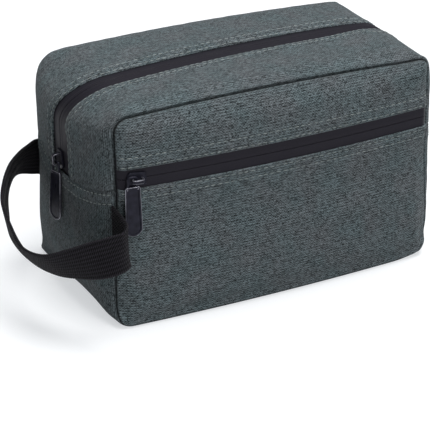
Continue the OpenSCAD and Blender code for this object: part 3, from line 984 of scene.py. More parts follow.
# the front doesn't swell above a height, beside its zip, and sinks only a little anywhere
FLAT_FROM = 50.0
FLAT_FADE = 10.0
MOST_SINK = 0.3
# the rows of the grid lie closer from a height, and closest within a distance of the fold
CLOSER_FROM = 78.0
FOLD_ZONE = 2.0


def sewn_len(z):
    """Half length of a panel between its sewn lines at a height."""
    return half_len(z, SEAM_IN)


def panel_grid(columns, heights):
    x = columns[None, :] * sewn_len(heights)[:, None]
    return x, np.repeat(heights[:, None], len(columns), axis=1)


def pucker(x, z):
    """Gathers along a panel's edge."""
    return gathers(x + z, inside(x, z) - SEAM_IN, *PANEL_GATHERS)


def front_panel(name, node, heights, low, high, hem_at, rows, up):
    """One of the two front panels, with its folded edge along the zip."""
    def share(x, z):
        return x / sewn_len(z), (z - low) / (high - low)

    coarse = np.linspace(low, high, max(8, int((high - low) / COARSE_STEP)))
    rise = finer(settle(front_face(*panel_grid(COARSE, coarse)), 1, PANEL_PUSH, cap=1.0))

    def face(x, z):
        e = (z - hem_at) * up
        near = smooth((z - FLAT_FROM) / FLAT_FADE)
        swell = lookup(rise, *share(x, z)) * smooth(e / HEM_HOLD)
        swell = np.where(swell > 0, swell * (1 - near), np.maximum(swell, -MOST_SINK))
        return front_face(x, z, hem(e, x, rows) + pucker(x, z) * smooth(e / GATHER_HOLD) + swell)

    x, z = panel_grid(COLUMNS, heights)
    points = face(x, z)
    piece = cloth(name, points, laid(points, x, z), FABRIC, seam=inside(x, z) - SEAM_IN)
    sewn_to(piece, "bag", "outer_fabric", node)
    return piece, face


low_bend = SEAM_IN + bend_steps(BASE_R - SEAM_IN, 24)
high_bend = BAG_H - SEAM_IN - bend_steps(TOP_R - SEAM_IN, 30)[::-1]
below_zip = steps((BASE_R, CLOSER_FROM, 1.4), (CLOSER_FROM, ZIP_LO - FOLD_ZONE, 0.5),
                  (ZIP_LO - FOLD_ZONE, ZIP_LO, 0.2))
above_zip = steps((ZIP_HI, ZIP_HI + FOLD_ZONE, 0.2), (ZIP_HI + FOLD_ZONE, BAG_H - TOP_R, 0.5))
front_lower, front_lower_face = front_panel(
    "front_panel_lower_cloth", "front_panel_lower", np.concatenate([low_bend, below_zip[1:]]),
    SEAM_IN, ZIP_LO, ZIP_LO, ROWS_BELOW_ZIP, -1)
front_upper, front_upper_face = front_panel(
    "front_panel_upper_cloth", "front_panel_upper", np.concatenate([above_zip[:-1], high_bend]),
    ZIP_HI, BAG_H - SEAM_IN, ZIP_HI, ROWS_ABOVE_ZIP, 1)

back_heights = np.concatenate([low_bend, steps((BASE_R, BAG_H - TOP_R, 1.5))[1:-1], high_bend])
back_coarse = np.linspace(SEAM_IN, BAG_H - SEAM_IN, 40)
back_rise = finer(settle(back_face(*panel_grid(COARSE, back_coarse)), -1, PANEL_PUSH, cap=1.4))


def back_swell(x, z):
    return lookup(back_rise, x / sewn_len(z), (z - SEAM_IN) / (BAG_H - 2 * SEAM_IN))


def back_cloth_face(x, z):
    return back_face(x, z, back_swell(x, z) + pucker(x, z))


back_x, back_z = panel_grid(COLUMNS, back_heights)
back_points = back_cloth_face(back_x, back_z)
back = cloth("back_panel_cloth", back_points, laid(back_points, back_x, back_z), FABRIC, -1,
             seam=inside(back_x, back_z) - SEAM_IN)
sewn_to(back, "bag", "outer_fabric", "back_panel")

# flat areas of the cuts, less their rounded corners
CORNER_LOSS = 2 - math.pi / 2
LOW_AREA = 2 * HALF_L * ZIP_LO - CORNER_LOSS * BASE_R**2
HIGH_AREA = 2 * HALF_L * (BAG_H - ZIP_HI) - CORNER_LOSS * TOP_R**2
BACK_AREA = 2 * HALF_L * BAG_H - CORNER_LOSS * (BASE_R**2 + TOP_R**2)


def cut(piece, width, length, held, area=None):
    """Takes the size that a piece of cloth was cut to, in millimetres, and works it out in metres without
    keeping it.
    """
    flat_area = None if area is None else area * MM * MM
    width * MM
    length * MM


cut(front_lower, 2 * HALF_L, ZIP_LO, "stretched", LOW_AREA)
cut(front_upper, 2 * HALF_L, BAG_H - ZIP_HI, "stretched", HIGH_AREA)
cut(back, 2 * HALF_L, BAG_H, "stretched", BACK_AREA)


# GUSSETS

ROWS_BY_MAIN_ZIP = (1.6, 6.8)
ROWS_AT_END = (2.4, 8.3)
END_LAP = 4.0
# the strips stand further from the zip down the ends, most at the front
LEG_GAPE = {-1: 4.2, 1: 1.8}
# and lean over it where the top meets the right end
RIGHT_CLOSE = {-1: 4.0, 1: 0.5}
CLOSE_FROM = 40.0
CLOSE_FADE = 50.0
# how deep the strips pass under the base gusset at the end seam
LAP_DEPTH = SHELL_T + 0.3
LAP_BEFORE = 0.4
LAP_RUN = 1.2
# distance from the middle line at which the flat length of a gusset is measured
CUT_AT = 30.0
# the swell of each end is held back above a height, in a band down its middle
HELD_FROM = 40.0
HELD_HALF_W = 16.0
HELD_FADE = 10.0
HELD_SHARE = 0.8


def top_strip(name, node, side):
    """One of the two strips beside the main zip, from the panel seam to the folded edge at the zip."""
    at_seam = 0.16 * np.linspace(0, 1, 20) ** 1.7
    across = np.concatenate([at_seam, spans((0.16, 0.78, 22), (0.78, 0.965, 18), (0.965, 1, 9))[1:]])
    lengths = spread(420, 0.1)

    def zip_edge(s):
        gape = LEG_GAPE[side] * smooth((np.abs(s) - TOP_FLAT - TOP_TURN / 2) / TOP_TURN)
        past = s - TOP_FLAT
        closing = RIGHT_CLOSE[side] * smooth((past + CLOSE_FROM) / CLOSE_FADE) * (1 - smooth(past / TOP_TURN))
        return zip_y(s) + side * (MAIN_ZIP_SHOW / 2 + gape - closing)

    def grid(columns, shares):
        first = side * (GUSSET_EDGE + (MAIN_ZIP_SHOW / 2 - GUSSET_EDGE) * shares)
        s = columns[None, :] * (top_reach(first) + END_LAP)[:, None]
        seam = side * GUSSET_EDGE
        return s, seam + (zip_edge(s) - seam) * shares[:, None]

    coarse = top_face(*grid(spread(130, 0.1), np.linspace(0, 1, 16)))
    rise = finer(settle(coarse, -side, GUSSET_PUSH, cap=0.9), 3)

    def face(s, y):
        e = side * (y - zip_edge(s))
        width = side * (side * GUSSET_EDGE - zip_edge(s))
        swell = lookup(rise, s / (top_reach(y) + END_LAP), 1 - e / width) * smooth(e / HEM_HOLD)
        gather = gathers(s, width - e, *GUSSET_GATHERS)
        under = smooth((np.abs(s) - top_reach(y) + LAP_BEFORE) / LAP_RUN) * LAP_DEPTH
        fold = hem(e, s, ROWS_BY_MAIN_ZIP) * smooth((width - e) / HEM_END)
        return top_face(s, y, fold + swell + gather - under)

    s, y = grid(lengths, across)
    points = face(s, y)
    to_seam = np.minimum(GUSSET_EDGE - np.abs(y), np.maximum(top_reach(y) - np.abs(s), 0))
    piece = cloth(name, points, laid(points, s, y), FABRIC, -side, seam=to_seam)
    sewn_to(piece, "bag", "outer_fabric", node)
    cut(piece, HALF_W - MAIN_ZIP_SHOW / 2, 2 * (top_reach(side * CUT_AT) + END_LAP), "stretched")
    return face, zip_edge


top_front_face, front_zip_edge = top_strip("top_gusset_front_cloth", "top_gusset_front", -1)
top_rear_face, rear_zip_edge = top_strip("top_gusset_rear_cloth", "top_gusset_rear", 1)

base_across = GUSSET_EDGE * spread(124, 0.75)
base_columns = spans((-1, -0.93, 40), (-0.93, -0.45, 90), (-0.45, 0.45, 60), (0.45, 0.93, 90), (0.93, 1, 40))


def base_grid(columns, ys):
    s = columns[None, :] * base_reach(ys)[:, None]
    return s, np.repeat(ys[:, None], len(columns), axis=1)


base_coarse = base_face(*base_grid(spread(100, 0.1), GUSSET_EDGE * spread(32, 0.2)))
base_rise = finer(settle(base_coarse, -1, GUSSET_PUSH, cap=1.2), 3)


def base_cloth_face(s, y):
    e = base_reach(y) - np.abs(s)
    d = GUSSET_EDGE - np.abs(y)
    z = along_base(s, y)[1]
    swell = lookup(base_rise, s / base_reach(y), (y / GUSSET_EDGE + 1) / 2) * smooth(e / HEM_HOLD)
    in_band = 1 - smooth((np.abs(y) - HELD_HALF_W) / HELD_FADE)
    held = smooth((z - HELD_FROM) / HELD_FADE) * in_band
    swell = np.where(swell > 0, swell * (1 - HELD_SHARE * held), swell)
    gather = gathers(s, d, *GUSSET_GATHERS)
    fold = hem(e, y, ROWS_AT_END, END_TUCK) * smooth(d / HEM_END)
    return base_face(s, y, fold + swell + gather)


base_s, base_y = base_grid(base_columns, base_across)
base_points = base_cloth_face(base_s, base_y)
base = cloth("base_gusset_cloth", base_points, laid(base_points, base_s, base_y), FABRIC, -1,
             seam=GUSSET_EDGE - np.abs(base_y))
sewn_to(base, "bag", "outer_fabric", "base_gusset")
cut(base, 2 * HALF_W, 2 * base_reach(CUT_AT), "stretched")


# STITCH ROWS

# how far inside the crossing seam the rows stop
FRONT_ROW_IN = 2.4
TOP_ROW_IN = 3.0
END_ROW_IN = 1.2
TOP_ROW_AT = 8.0
front_end = HALF_L - FRONT_ROW_IN
front_x = np.linspace(-front_end, front_end, 240)
front_rows = [sewn_row(front_lower_face, front_x, np.full_like(front_x, ZIP_LO - e)) for e in ROWS_BELOW_ZIP]
front_rows += [sewn_row(front_upper_face, front_x, np.full_like(front_x, ZIP_HI + e)) for e in ROWS_ABOVE_ZIP]
top_end = top_reach(TOP_ROW_AT) - TOP_ROW_IN
top_s = np.linspace(-top_end, top_end, 500)
top_rows = [sewn_row(top_front_face, top_s, front_zip_edge(top_s) - e) for e in ROWS_BY_MAIN_ZIP]
top_rows += [sewn_row(top_rear_face, top_s, rear_zip_edge(top_s) + e) for e in ROWS_BY_MAIN_ZIP]
end_half = GUSSET_EDGE - END_ROW_IN
end_y = np.linspace(-end_half, end_half, 160)
end_rows = [sewn_row(base_cloth_face, side * (base_reach(end_y) - e), end_y, -1)
            for e in ROWS_AT_END for side in (-1, 1)]
sewn_rows = (
    ("front_zip_stitching", front_rows, STITCH_W),
    ("main_zip_stitching", top_rows, 1.15 * STITCH_W),
    ("end_seam_stitching", end_rows, 1.5 * STITCH_W),
)
for name, rows, width in sewn_rows:
    sewn_to(stitches(name, rows, THREAD, width), "bag", "binding")


# ZIP TAPES AND COILS


def tape_relief(t):
    """Film pressed over the coil beside the slit, with a rounded inner edge."""
    inside_edge = t - TAPE_SLIT / 2
    over_coil = FILM_RISE * smooth(inside_edge / FILM_START) * (1 - smooth((t - FILM_TO) / FILM_FADE))
    return over_coil - EDGE_DROP * (1 - rolled(inside_edge / EDGE_W))


def tape_width(show):
    """Width of one tape from the slit to its hidden edge, from the width that shows of both."""
    return show / 2 + TAPE_UNDER - TAPE_SLIT / 2


def tape_across(show):
    """Places across a tape, closest together beside the slit."""
    return steps((TAPE_SLIT / 2, 1.4, 0.15), (1.4, 4.2, 0.35), (4.2, show / 2 + TAPE_UNDER, 1.2))


def front_tape(name, node, side):
    x = (HALF_L - SEAM_IN) * spread(220, 0.6)[None, :]
    t = tape_across(ZIP_SHOW)[:, None]
    x, z = np.broadcast_arrays(x, FRONT_ZIP_Z + side * t)
    points = front_face(x, z, tape_relief(t) - TAPE_D)
    piece = cloth(name, points, np.stack([x, z], -1), TAPE, side, TAPE_T)
    sewn_to(piece, "bag", "zip_tape", node)
    cut(piece, tape_width(ZIP_SHOW), 2 * HALF_L, "stretched")


# the film stands up a little beyond the straight leg that the slider runs on
DOME_REACH = TOP_FLAT + TOP_TURN - 2
DOME_FADE = 10.0
# and goes down before the end seam
DIP_BEFORE = 1.0
DIP_RUN = 3.0


def main_tape(name, node, side):
    reach = TOP_FLAT + TOP_TURN + BAG_H - TOP_R - TAPE_TUCK_Z
    s, t = np.broadcast_arrays(reach * spread(460, 0.1)[None, :], tape_across(MAIN_ZIP_SHOW)[:, None])
    y = zip_y(s) + side * t
    under = smooth((np.abs(s) - top_reach(0.0) + DIP_BEFORE) / DIP_RUN) * FILM_DIP
    dome = FILM_DOME * (1 - (t / (MAIN_ZIP_SHOW / 2 + 1)) ** 2) * smooth((DOME_REACH + s) / DOME_FADE)
    points = top_face(s, y, tape_relief(t) - TAPE_D - under + np.maximum(dome, 0))
    piece = cloth(name, points, np.stack([s, y], -1), TAPE, side, TAPE_T)
    sewn_to(piece, "bag", "zip_tape", node)
    cut(piece, tape_width(MAIN_ZIP_SHOW), 2 * reach, "stretched")


FRONT_SIDES = (("upper", 1), ("lower", -1))
MAIN_SIDES = (("front", -1), ("rear", 1))
for row_name, side in FRONT_SIDES:
    front_tape(f"front_zip_tape_{row_name}_film", f"front_zip_tape_{row_name}", side)
for row_name, side in MAIN_SIDES:
    main_tape(f"main_zip_tape_{row_name}_film", f"main_zip_tape_{row_name}", side)


def tube_mesh(name, centre, across, outward, section, closed, yarn_run, ribs=None):
    """Mesh of a band or wire: a section of (across, outward) offsets carried along a line."""
    ribs = np.ones((len(centre), len(section) + 1)) if ribs is None else ribs
    ring = np.concatenate([section, section[:1]])
    points = (centre[:, None, :] + across[:, None, :] * ring[None, :, 0:1]
              + outward[:, None, :] * (ring[None, :, 1] * ribs)[:, :, None])
    yarn = np.stack(np.broadcast_arrays(yarn_run[:, None], run_of(ring)[None, :]), -1)
    mesh = grid_mesh(name, points, yarn)
    bm = bmesh.new()
    bm.from_mesh(mesh)
    bmesh.ops.remove_doubles(bm, verts=bm.verts, dist=1e-7)
    if not closed:
        bmesh.ops.holes_fill(bm, edges=[e for e in bm.edges if e.is_boundary], sides=0)
    bmesh.ops.recalc_face_normals(bm, faces=bm.faces)
    bm.to_mesh(mesh)
    bm.free()
    mesh.shade_smooth()
    return mesh


WIRE_R = 0.3
WIRE_SIDES = 5
TURN_STEPS = 8
COIL_GAP = 0.05
COIL_SHORT = 0.6
ASKEW = np.array([0.3, 0.5, 0.81])  # a direction that no turn of the coil runs along
wire_turn = np.arange(WIRE_SIDES) * 2 * math.pi / WIRE_SIDES
WIRE = WIRE_R * np.stack([np.cos(wire_turn), np.sin(wire_turn)], -1)


def coil(name, node, face, length):
    """One row of zip coil: a flattened helix of stiff wire beside the slit, under the tape."""
    turns = int(length / COIL_PITCH)
    a = np.linspace(0, turns * 2 * math.pi, turns * TURN_STEPS + 1)
    s = (a / (turns * 2 * math.pi) - 0.5) * length
    t = COIL_IN + COIL_W / 2 - (COIL_W / 2 - WIRE_R) * np.cos(a)
    depth = TAPE_D + TAPE_T + COIL_GAP + COIL_T / 2 + (COIL_T / 2 - WIRE_R) * np.sin(a)
    line = face(s, t, depth)
    ahead = unit(np.gradient(line, axis=0))
    outward = unit(np.cross(ahead, ASKEW))
    across = np.cross(ahead, outward)
    mesh = tube_mesh(name, line, across, outward, WIRE, False, run_of(line))
    sewn_to(added(name, mesh, COIL), "bag", "zip_coil", node)


FRONT_COIL_L = 2 * (HALF_L - ZIP_END)
MAIN_COIL_L = 2 * (top_reach(0.0) - COIL_SHORT)
for row_name, side in FRONT_SIDES:
    coil(f"front_zip_coil_{row_name}_wire", f"front_zip_coil_{row_name}",
         lambda s, t, d, side=side: front_face(s, FRONT_ZIP_Z + side * t, -d), FRONT_COIL_L)
for row_name, side in MAIN_SIDES:
    coil(f"main_zip_coil_{row_name}_wire", f"main_zip_coil_{row_name}",
         lambda s, t, d, side=side: top_face(s, zip_y(s) + side * t, -d), MAIN_COIL_L)


# WRIST LOOP


def strap_line(count):
    """Centre line of the webbing and its lean, on a smooth curve through the route's points."""
    route = np.concatenate([STRAP_ROUTE[:1], STRAP_ROUTE, STRAP_ROUTE[-1:]])
    k = np.linspace(0, len(STRAP_ROUTE) - 1, count)
    i = np.minimum(k.astype(int), len(STRAP_ROUTE) - 2)
    t = (k - i)[:, None]
    a, b, c, d = (route[i + j] for j in range(4))
    at = 0.5 * (2 * b + (c - a) * t + (2 * a - 5 * b + 4 * c - d) * t**2 + (3 * b - a - 3 * c + d) * t**3)
    line = np.stack([-HALF_L - STRAP_GAP - STRAP_T / 2 - STRAP_REACH * at[:, 0], HALF_W * at[:, 1],
                     STRAP_Z - STRAP_SAG * at[:, 2]], -1)
    return line, np.radians(at[:, 3])


def webbing_section(half_w, half_t, count):
    """Half round edges joined by flat faces, as (across, outward) offsets."""
    edge = np.linspace(-math.pi / 2, math.pi / 2, 7)
    flat = np.linspace(-1, 1, count)
    right = np.stack([half_w - half_t + half_t * np.cos(edge), half_t * np.sin(edge)], -1)
    top = np.stack([-(half_w - half_t) * flat, np.full(count, half_t)], -1)[1:-1]
    return np.concatenate([right, top, -right, -top])


strap_rough, strap_lean_rough = strap_line(400)
strap_run = run_of(strap_rough)
STRAP_L = strap_run[-1]
strap_at = np.linspace(0, STRAP_L, int(STRAP_L / RIB_PITCH * RIB_STEPS))
strap_centre = sampled(strap_at, strap_run, strap_rough)
strap_lean = np.interp(strap_at, strap_run, strap_lean_rough)[:, None]
strap_dir = np.gradient(strap_centre, axis=0)
level = np.minimum(1, np.minimum(strap_at, STRAP_L - strap_at) / STRAP_LEVEL)
strap_dir[:, 2] *= level
strap_dir = unit(strap_dir)
strap_out = unit(np.cross([0, 0, 1], strap_dir))
strap_up = unit(np.cross(strap_dir, strap_out))
strap_across = strap_up * np.cos(strap_lean) + strap_out * np.sin(strap_lean)
strap_face = np.cross(strap_dir, strap_across)
strap_section = webbing_section(STRAP_W / 2, STRAP_T / 2, 30)
strap_offsets = np.append(strap_section[:, 0], strap_section[0, 0])
rib_place = strap_at[:, None] + RIB_SLANT * strap_offsets[None, :]
strap_ribs = 1 + RIB_H * np.sin(2 * math.pi * rib_place / RIB_PITCH)
strap_mesh = tube_mesh("wrist_strap_webbing", strap_centre, strap_across, strap_face, strap_section,
                       False, strap_at, strap_ribs)
strap = added("wrist_strap_webbing", strap_mesh, WEBBING)
sewn_to(strap, "bag", "webbing", "wrist_strap")
cut(strap, STRAP_W, STRAP_L, "hung")


# SLIDERS AND PULLERS


def plate(bm, outline, low, high, corner=0.0):
    """A flat plate from an outline of (x, y) points, with its corners rounded where that is asked for."""
    verts = [bm.verts.new((x, y, low)) for x, y in outline]
    face = bm.faces.new(verts)
    made = bmesh.ops.extrude_face_region(bm, geom=[face])["geom"]
    top = [v for v in made if isinstance(v, bmesh.types.BMVert)]
    bmesh.ops.translate(bm, verts=top, vec=(0, 0, high - low))
    every = verts + top
    upright = [e for e in bm.edges if (e.verts[0] in every and e.verts[1] in every)
               and abs(e.verts[0].co.z - e.verts[1].co.z) > 1e-6]
    if corner:
        bmesh.ops.bevel(bm, geom=upright, offset=corner, segments=4, profile=0.5, affect="EDGES", material=-1)


def soften(bm, offset, angle=0.6):
    """Rounds every sharp edge and marks the faces that this makes."""
    bmesh.ops.recalc_face_normals(bm, faces=bm.faces)
    sharp = [e for e in bm.edges if e.is_manifold and e.calc_face_angle(0) > angle]
    made = bmesh.ops.bevel(bm, geom=sharp, offset=offset, segments=3, profile=0.5, affect="EDGES",
                           clamp_overlap=True, material=-1)
    for face in made["faces"]:
        face.material_index = 1


def turned(degrees, axis):
    return Matrix.Rotation(math.radians(degrees), 4, axis)


def arc(cx, cy, r, start, end, count):
    turn = np.radians(np.linspace(start, end, count))
    return [(cx + r * math.cos(a), cy + r * math.sin(a)) for a in turn]


def block(left, right, near, far):
    """Outline of a straight-sided block."""
    return [(left, near), (right, near), (right, far), (left, far)]


def prism(outline, low, high, edge, corner=0.0, turn=None):
    """A softened plate in a mesh of its own, turned into place."""
    bm = bmesh.new()
    plate(bm, outline, low, high, corner)
    soften(bm, edge)
    if turn is not None:
        bmesh.ops.transform(bm, matrix=turn, verts=bm.verts)
    return bm


def map_edges(mesh):
    """Turns the marks of the rounded edges into a map that the finish reads to paint its highlight there."""
    marks = np.empty(len(mesh.polygons), dtype=np.int32)
    sides = np.empty(len(mesh.polygons), dtype=np.int32)
    mesh.polygons.foreach_get("material_index", marks)
    mesh.polygons.foreach_get("loop_total", sides)
    far = np.repeat(marks, 2 * sides).astype(np.float32)
    mesh.uv_layers.new(name="rub").data.foreach_set("uv", far)
    mesh.polygons.foreach_set("material_index", np.zeros(len(marks), dtype=np.int32))


def joined(name, parts, place, material):
    """One piece from several softened parts, put in place and made in metres."""
    whole = bmesh.new()
    for part in parts:
        step = bpy.data.meshes.new("part")
        part.to_mesh(step)
        part.free()
        whole.from_mesh(step)
        bpy.data.meshes.remove(step)
    bmesh.ops.transform(whole, matrix=Matrix.Scale(MM, 4) @ place, verts=whole.verts)
    bmesh.ops.recalc_face_normals(whole, faces=whole.faces)
    mesh = bpy.data.meshes.new(name)
    whole.to_mesh(mesh)
    whole.free()
    mesh.shade_smooth()
    mesh.set_sharp_from_angle(angle=math.radians(40))
    map_edges(mesh)
    return added(name, mesh, material)


def shield(length, width):
    """Outline of a slider's plate, widest towards its nose."""
    nose = SLIDER_W * 0.3
    side = [(-length / 2, width * 0.39), (-length / 2 + 0.8, width * 0.42), (length * 0.18, width / 2),
            (length * 0.38, width / 2), (length / 2, nose)]
    return side[::-1] + [(x, -y) for x, y in side]


def slider(name, node, body, place):
    """Upper and lower plates, side flanges, the post between the rows and the bridge for the puller."""
    top = prism(shield(SLIDER_L, SLIDER_W), RUN_GAP, PLATE_TOP, edge=0.4, corner=PLATE_R)
    under = prism(shield(SLIDER_L - UNDER_SHORT, SLIDER_W - UNDER_NARROW), UNDER_TOP - UNDER_T, UNDER_TOP,
                  edge=0.3, corner=PLATE_R)
    post = prism(block(POST_X, POST_X + POST_L, -POST_W / 2, POST_W / 2),
                 UNDER_TOP - ROOT, PLATE_TOP - ROOT, edge=0.1)
    flange_y = COIL_IN + COIL_W + RUN_GAP
    flanges = [prism(block(-SLIDER_L / 2 + FLANGE_IN, POST_X + FLANGE_IN, y, y + FLANGE_T),
                     UNDER_TOP - ROOT, -TAPE_T - RUN_GAP, edge=0.2)
               for y in (flange_y, -flange_y - FLANGE_T)]
    out, bend_z = BRIDGE_IN + BRIDGE_T, BRIDGE_GAP + BRIDGE_T - BRIDGE_R
    outer = [(out, -BRIDGE_ROOT)] + arc(out - BRIDGE_R, bend_z, BRIDGE_R, 0, 90, 7)
    outer += arc(-out + BRIDGE_R, bend_z, BRIDGE_R, 90, 180, 7) + [(-out, -BRIDGE_ROOT)]
    hole_x, hole_z = BRIDGE_IN - BRIDGE_HOLE_R, BRIDGE_GAP - BRIDGE_HOLE_R
    inner = [(-BRIDGE_IN, -BRIDGE_ROOT)] + arc(-hole_x, hole_z, BRIDGE_HOLE_R, 180, 90, 5)
    inner += arc(hole_x, hole_z, BRIDGE_HOLE_R, 90, 0, 5) + [(BRIDGE_IN, -BRIDGE_ROOT)]
    stand = Matrix.Translation((0, 0, PLATE_TOP)) @ turned(90, "X")
    bridge = prism(outer + inner, -BRIDGE_W / 2, BRIDGE_W / 2, edge=0.35, turn=stand)
    piece = joined(name, [top, under, post, *flanges, bridge], place, METAL)
    sewn_to(piece, body, "slider", node)


def puller(name, node, body, place):
    """Plate with a raised rim and a rounded tip, hung by two arms from a round cross bar."""
    tip_r = PULLER_TIP_W / 2
    centre = PULLER_L - tip_r
    outline = [(NECK, PULLER_TOP_W / 2), (NECK, -PULLER_TOP_W / 2)]
    outline += arc(centre, 0, tip_r, -TIP_TURN, TIP_TURN, 13)
    bm = bmesh.new()
    plate(bm, outline, -PULLER_T / 2, PULLER_T / 2)
    faces = [f for f in bm.faces if len(f.verts) == len(outline)]
    bmesh.ops.recalc_face_normals(bm, faces=bm.faces)
    for f in faces:
        bmesh.ops.inset_region(bm, faces=[f], thickness=RIM_W, use_even_offset=True)
        bmesh.ops.inset_region(bm, faces=[f], thickness=RIM_SLOPE, use_even_offset=True)
        bmesh.ops.translate(bm, verts=f.verts, vec=-PANEL_SINK * f.normal)
    shoulders = [e for e in bm.edges if e.is_manifold
                 and abs(e.verts[0].co.z - e.verts[1].co.z) > 0.8 * PULLER_T
                 and min(v.co.x for v in e.verts) < NECK + 0.1]
    bmesh.ops.bevel(bm, geom=shoulders, offset=SHOULDER_R, segments=4, profile=0.5, affect="EDGES",
                    material=-1)
    whole = list(bm.verts) + list(bm.edges) + list(bm.faces)
    bmesh.ops.bisect_plane(bm, geom=whole, plane_co=(TIP_FROM, 0, 0), plane_no=(1, 0, 0))
    for v in bm.verts:
        if v.co.z > 0:
            v.co.z -= TIP_DROP * float(smooth((v.co.x - TIP_FROM) / (PULLER_L - TIP_FROM)))
    soften(bm, 0.36, angle=0.9)
    bar = bmesh.new()
    ring = bmesh.ops.create_circle(bar, segments=BAR_SIDES, radius=BAR_R, cap_ends=False)["verts"]
    arm_end = Matrix.Translation((NECK + ARM_ROOT, -EYE_MID, 0)) @ turned(90, "Y")
    bmesh.ops.transform(bar, verts=ring, matrix=arm_end)
    loop = list(bar.edges)
    bar.faces.new(ring)

    def run_on(edges, vec):
        made = bmesh.ops.extrude_edge_only(bar, edges=edges)["geom"]
        bmesh.ops.translate(bar, verts=[g for g in made if isinstance(g, bmesh.types.BMVert)], vec=vec)
        return [g for g in made if isinstance(g, bmesh.types.BMEdge)]

    def bend(edges, cent):
        made = bmesh.ops.spin(bar, geom=edges, cent=cent, axis=(0, 0, 1), angle=math.radians(-90), steps=6)
        return [g for g in made["geom_last"] if isinstance(g, bmesh.types.BMEdge)]

    arm = NECK + ARM_ROOT - EYE_TURN_R
    half_bar = EYE_MID - EYE_TURN_R
    loop = run_on(loop, (-arm, 0, 0))
    loop = bend(loop, (EYE_TURN_R, -half_bar, 0))
    loop = run_on(loop, (0, 2 * half_bar, 0))
    loop = bend(loop, (EYE_TURN_R, half_bar, 0))
    loop = run_on(loop, (arm, 0, 0))
    bmesh.ops.holes_fill(bar, edges=loop, sides=0)
    piece = joined(name, [bm, bar], place, METAL)
    sewn_to(piece, body, "puller", node)


ON_MAIN_ZIP = Matrix.Translation((-END_FACE_X, 0, MAIN_SLIDER_Z)) @ turned(-90, "Y") @ turned(180, "Z")
ON_FRONT_ZIP = (Matrix.Translation((0, ZIP_ARC_R - ZIP_FACE_Y, FRONT_ZIP_Z))
                @ turned(-math.degrees(FRONT_TURN), "Z") @ Matrix.Translation((0, -ZIP_ARC_R, 0))
                @ turned(90, "X") @ turned(180, "Z"))
MAIN_BAR = (Matrix.Translation((BRIDGE_IN - BAR_R - BAR_GAP, 0, MAIN_LIFT)) @ turned(-PULLER_TWIST, "X")
            @ turned(-PULLER_LEAN, "Y"))
LEG_MID = BRIDGE_IN + BRIDGE_T / 2
FRONT_BAR = Matrix.Translation((LEG_MID, -BRIDGE_W / 2 - BAR_R - BAR_GAP, FRONT_LIFT)) @ turned(90, "Z")
slider("main_slider_body_cast", "main_slider", "main_slider_body", ON_MAIN_ZIP)
slider("front_slider_body_cast", "front_slider", "front_slider_body", ON_FRONT_ZIP)
puller("main_puller_tab", "main_puller", "main_puller_body", ON_MAIN_ZIP @ MAIN_BAR)
puller("front_puller_tab", "front_puller", "front_puller_body", ON_FRONT_ZIP @ FRONT_BAR)


# PADDING AND LINING

INNER_EDGE = 6.0
INNER_HALF_W = 0.88 * HALF_W
# the top linings stop clear of the slider's way, and are as long as the strips at a distance from the middle
TOP_LINING_IN = SLIDER_W / 2 + 1
TOP_LINING_AT = 20.0
# the layers of the base stop short of the end seams
BASE_LINING_SHORT = 1.0
BASE_FOAM_SHORT = 8.0
# thickness, material and slot of each kind of layer
LINED = (LINING_T, LINING, "lining")
PADDED = (FOAM_T, FOAM, "foam")
inner_columns = spread(60, 0.4)


def inner_grid():
    """Grid over a panel inside its seam allowances."""
    heights = INNER_EDGE + (BAG_H - 2 * INNER_EDGE) * (spread(44, 0.8) + 1) / 2
    x = inner_columns[None, :] * (half_len(heights) - INNER_EDGE)[:, None]
    return x, np.repeat(heights[:, None], len(inner_columns), axis=1)


def layer(name, node, points, yarn, facing, kind):
    """One layer of padding or lining, sewn in with the bag."""
    thickness, material, slot = kind
    return sewn_to(cloth(name, points, yarn, material, facing, thickness), "bag", slot, node)


def inner_front(name, node, depth, kind):
    x, z = inner_grid()
    return layer(name, node, pocket_face(x, z, depth), np.stack([x, z], -1), 1, kind)


def inner_back(name, node, depth, kind):
    x, z = inner_grid()
    return layer(name, node, back_face(x, z, back_swell(x, z) - depth), np.stack([x, z], -1), -1, kind)


def inner_base(name, node, reach, depth, kind):
    s, y = np.broadcast_arrays(reach * spread(150, 0.1)[None, :], INNER_HALF_W * spread(30, 0)[:, None])
    return layer(name, node, base_inner(s, y, depth), np.stack([s, y], -1), -1, kind)


def base_inner(s, y, depth):
    """Layer under the base gusset, set in square to it all the way round."""
    _, _, nx, nz = along_base(s, y)
    point = base_face(s, y)
    point[..., 0] -= nx * depth
    point[..., 2] -= nz * depth
    return point


def inner_top(name, node, side):
    s = top_reach(TOP_LINING_AT) * spread(150, 0.1)[None, :]
    share = np.linspace(0, 1, 18)[:, None]
    first = side * INNER_HALF_W
    y = first + (zip_y(s) + side * TOP_LINING_IN - first) * share
    s = np.broadcast_to(s, y.shape)
    depth = TAPE_D + TAPE_T + LAYER_GAP
    piece = layer(name, node, top_face(s, y, -depth), np.stack([s, y], -1), -side, LINED)
    cut(piece, INNER_HALF_W - TOP_LINING_IN, 2 * top_reach(TOP_LINING_AT), "stretched")


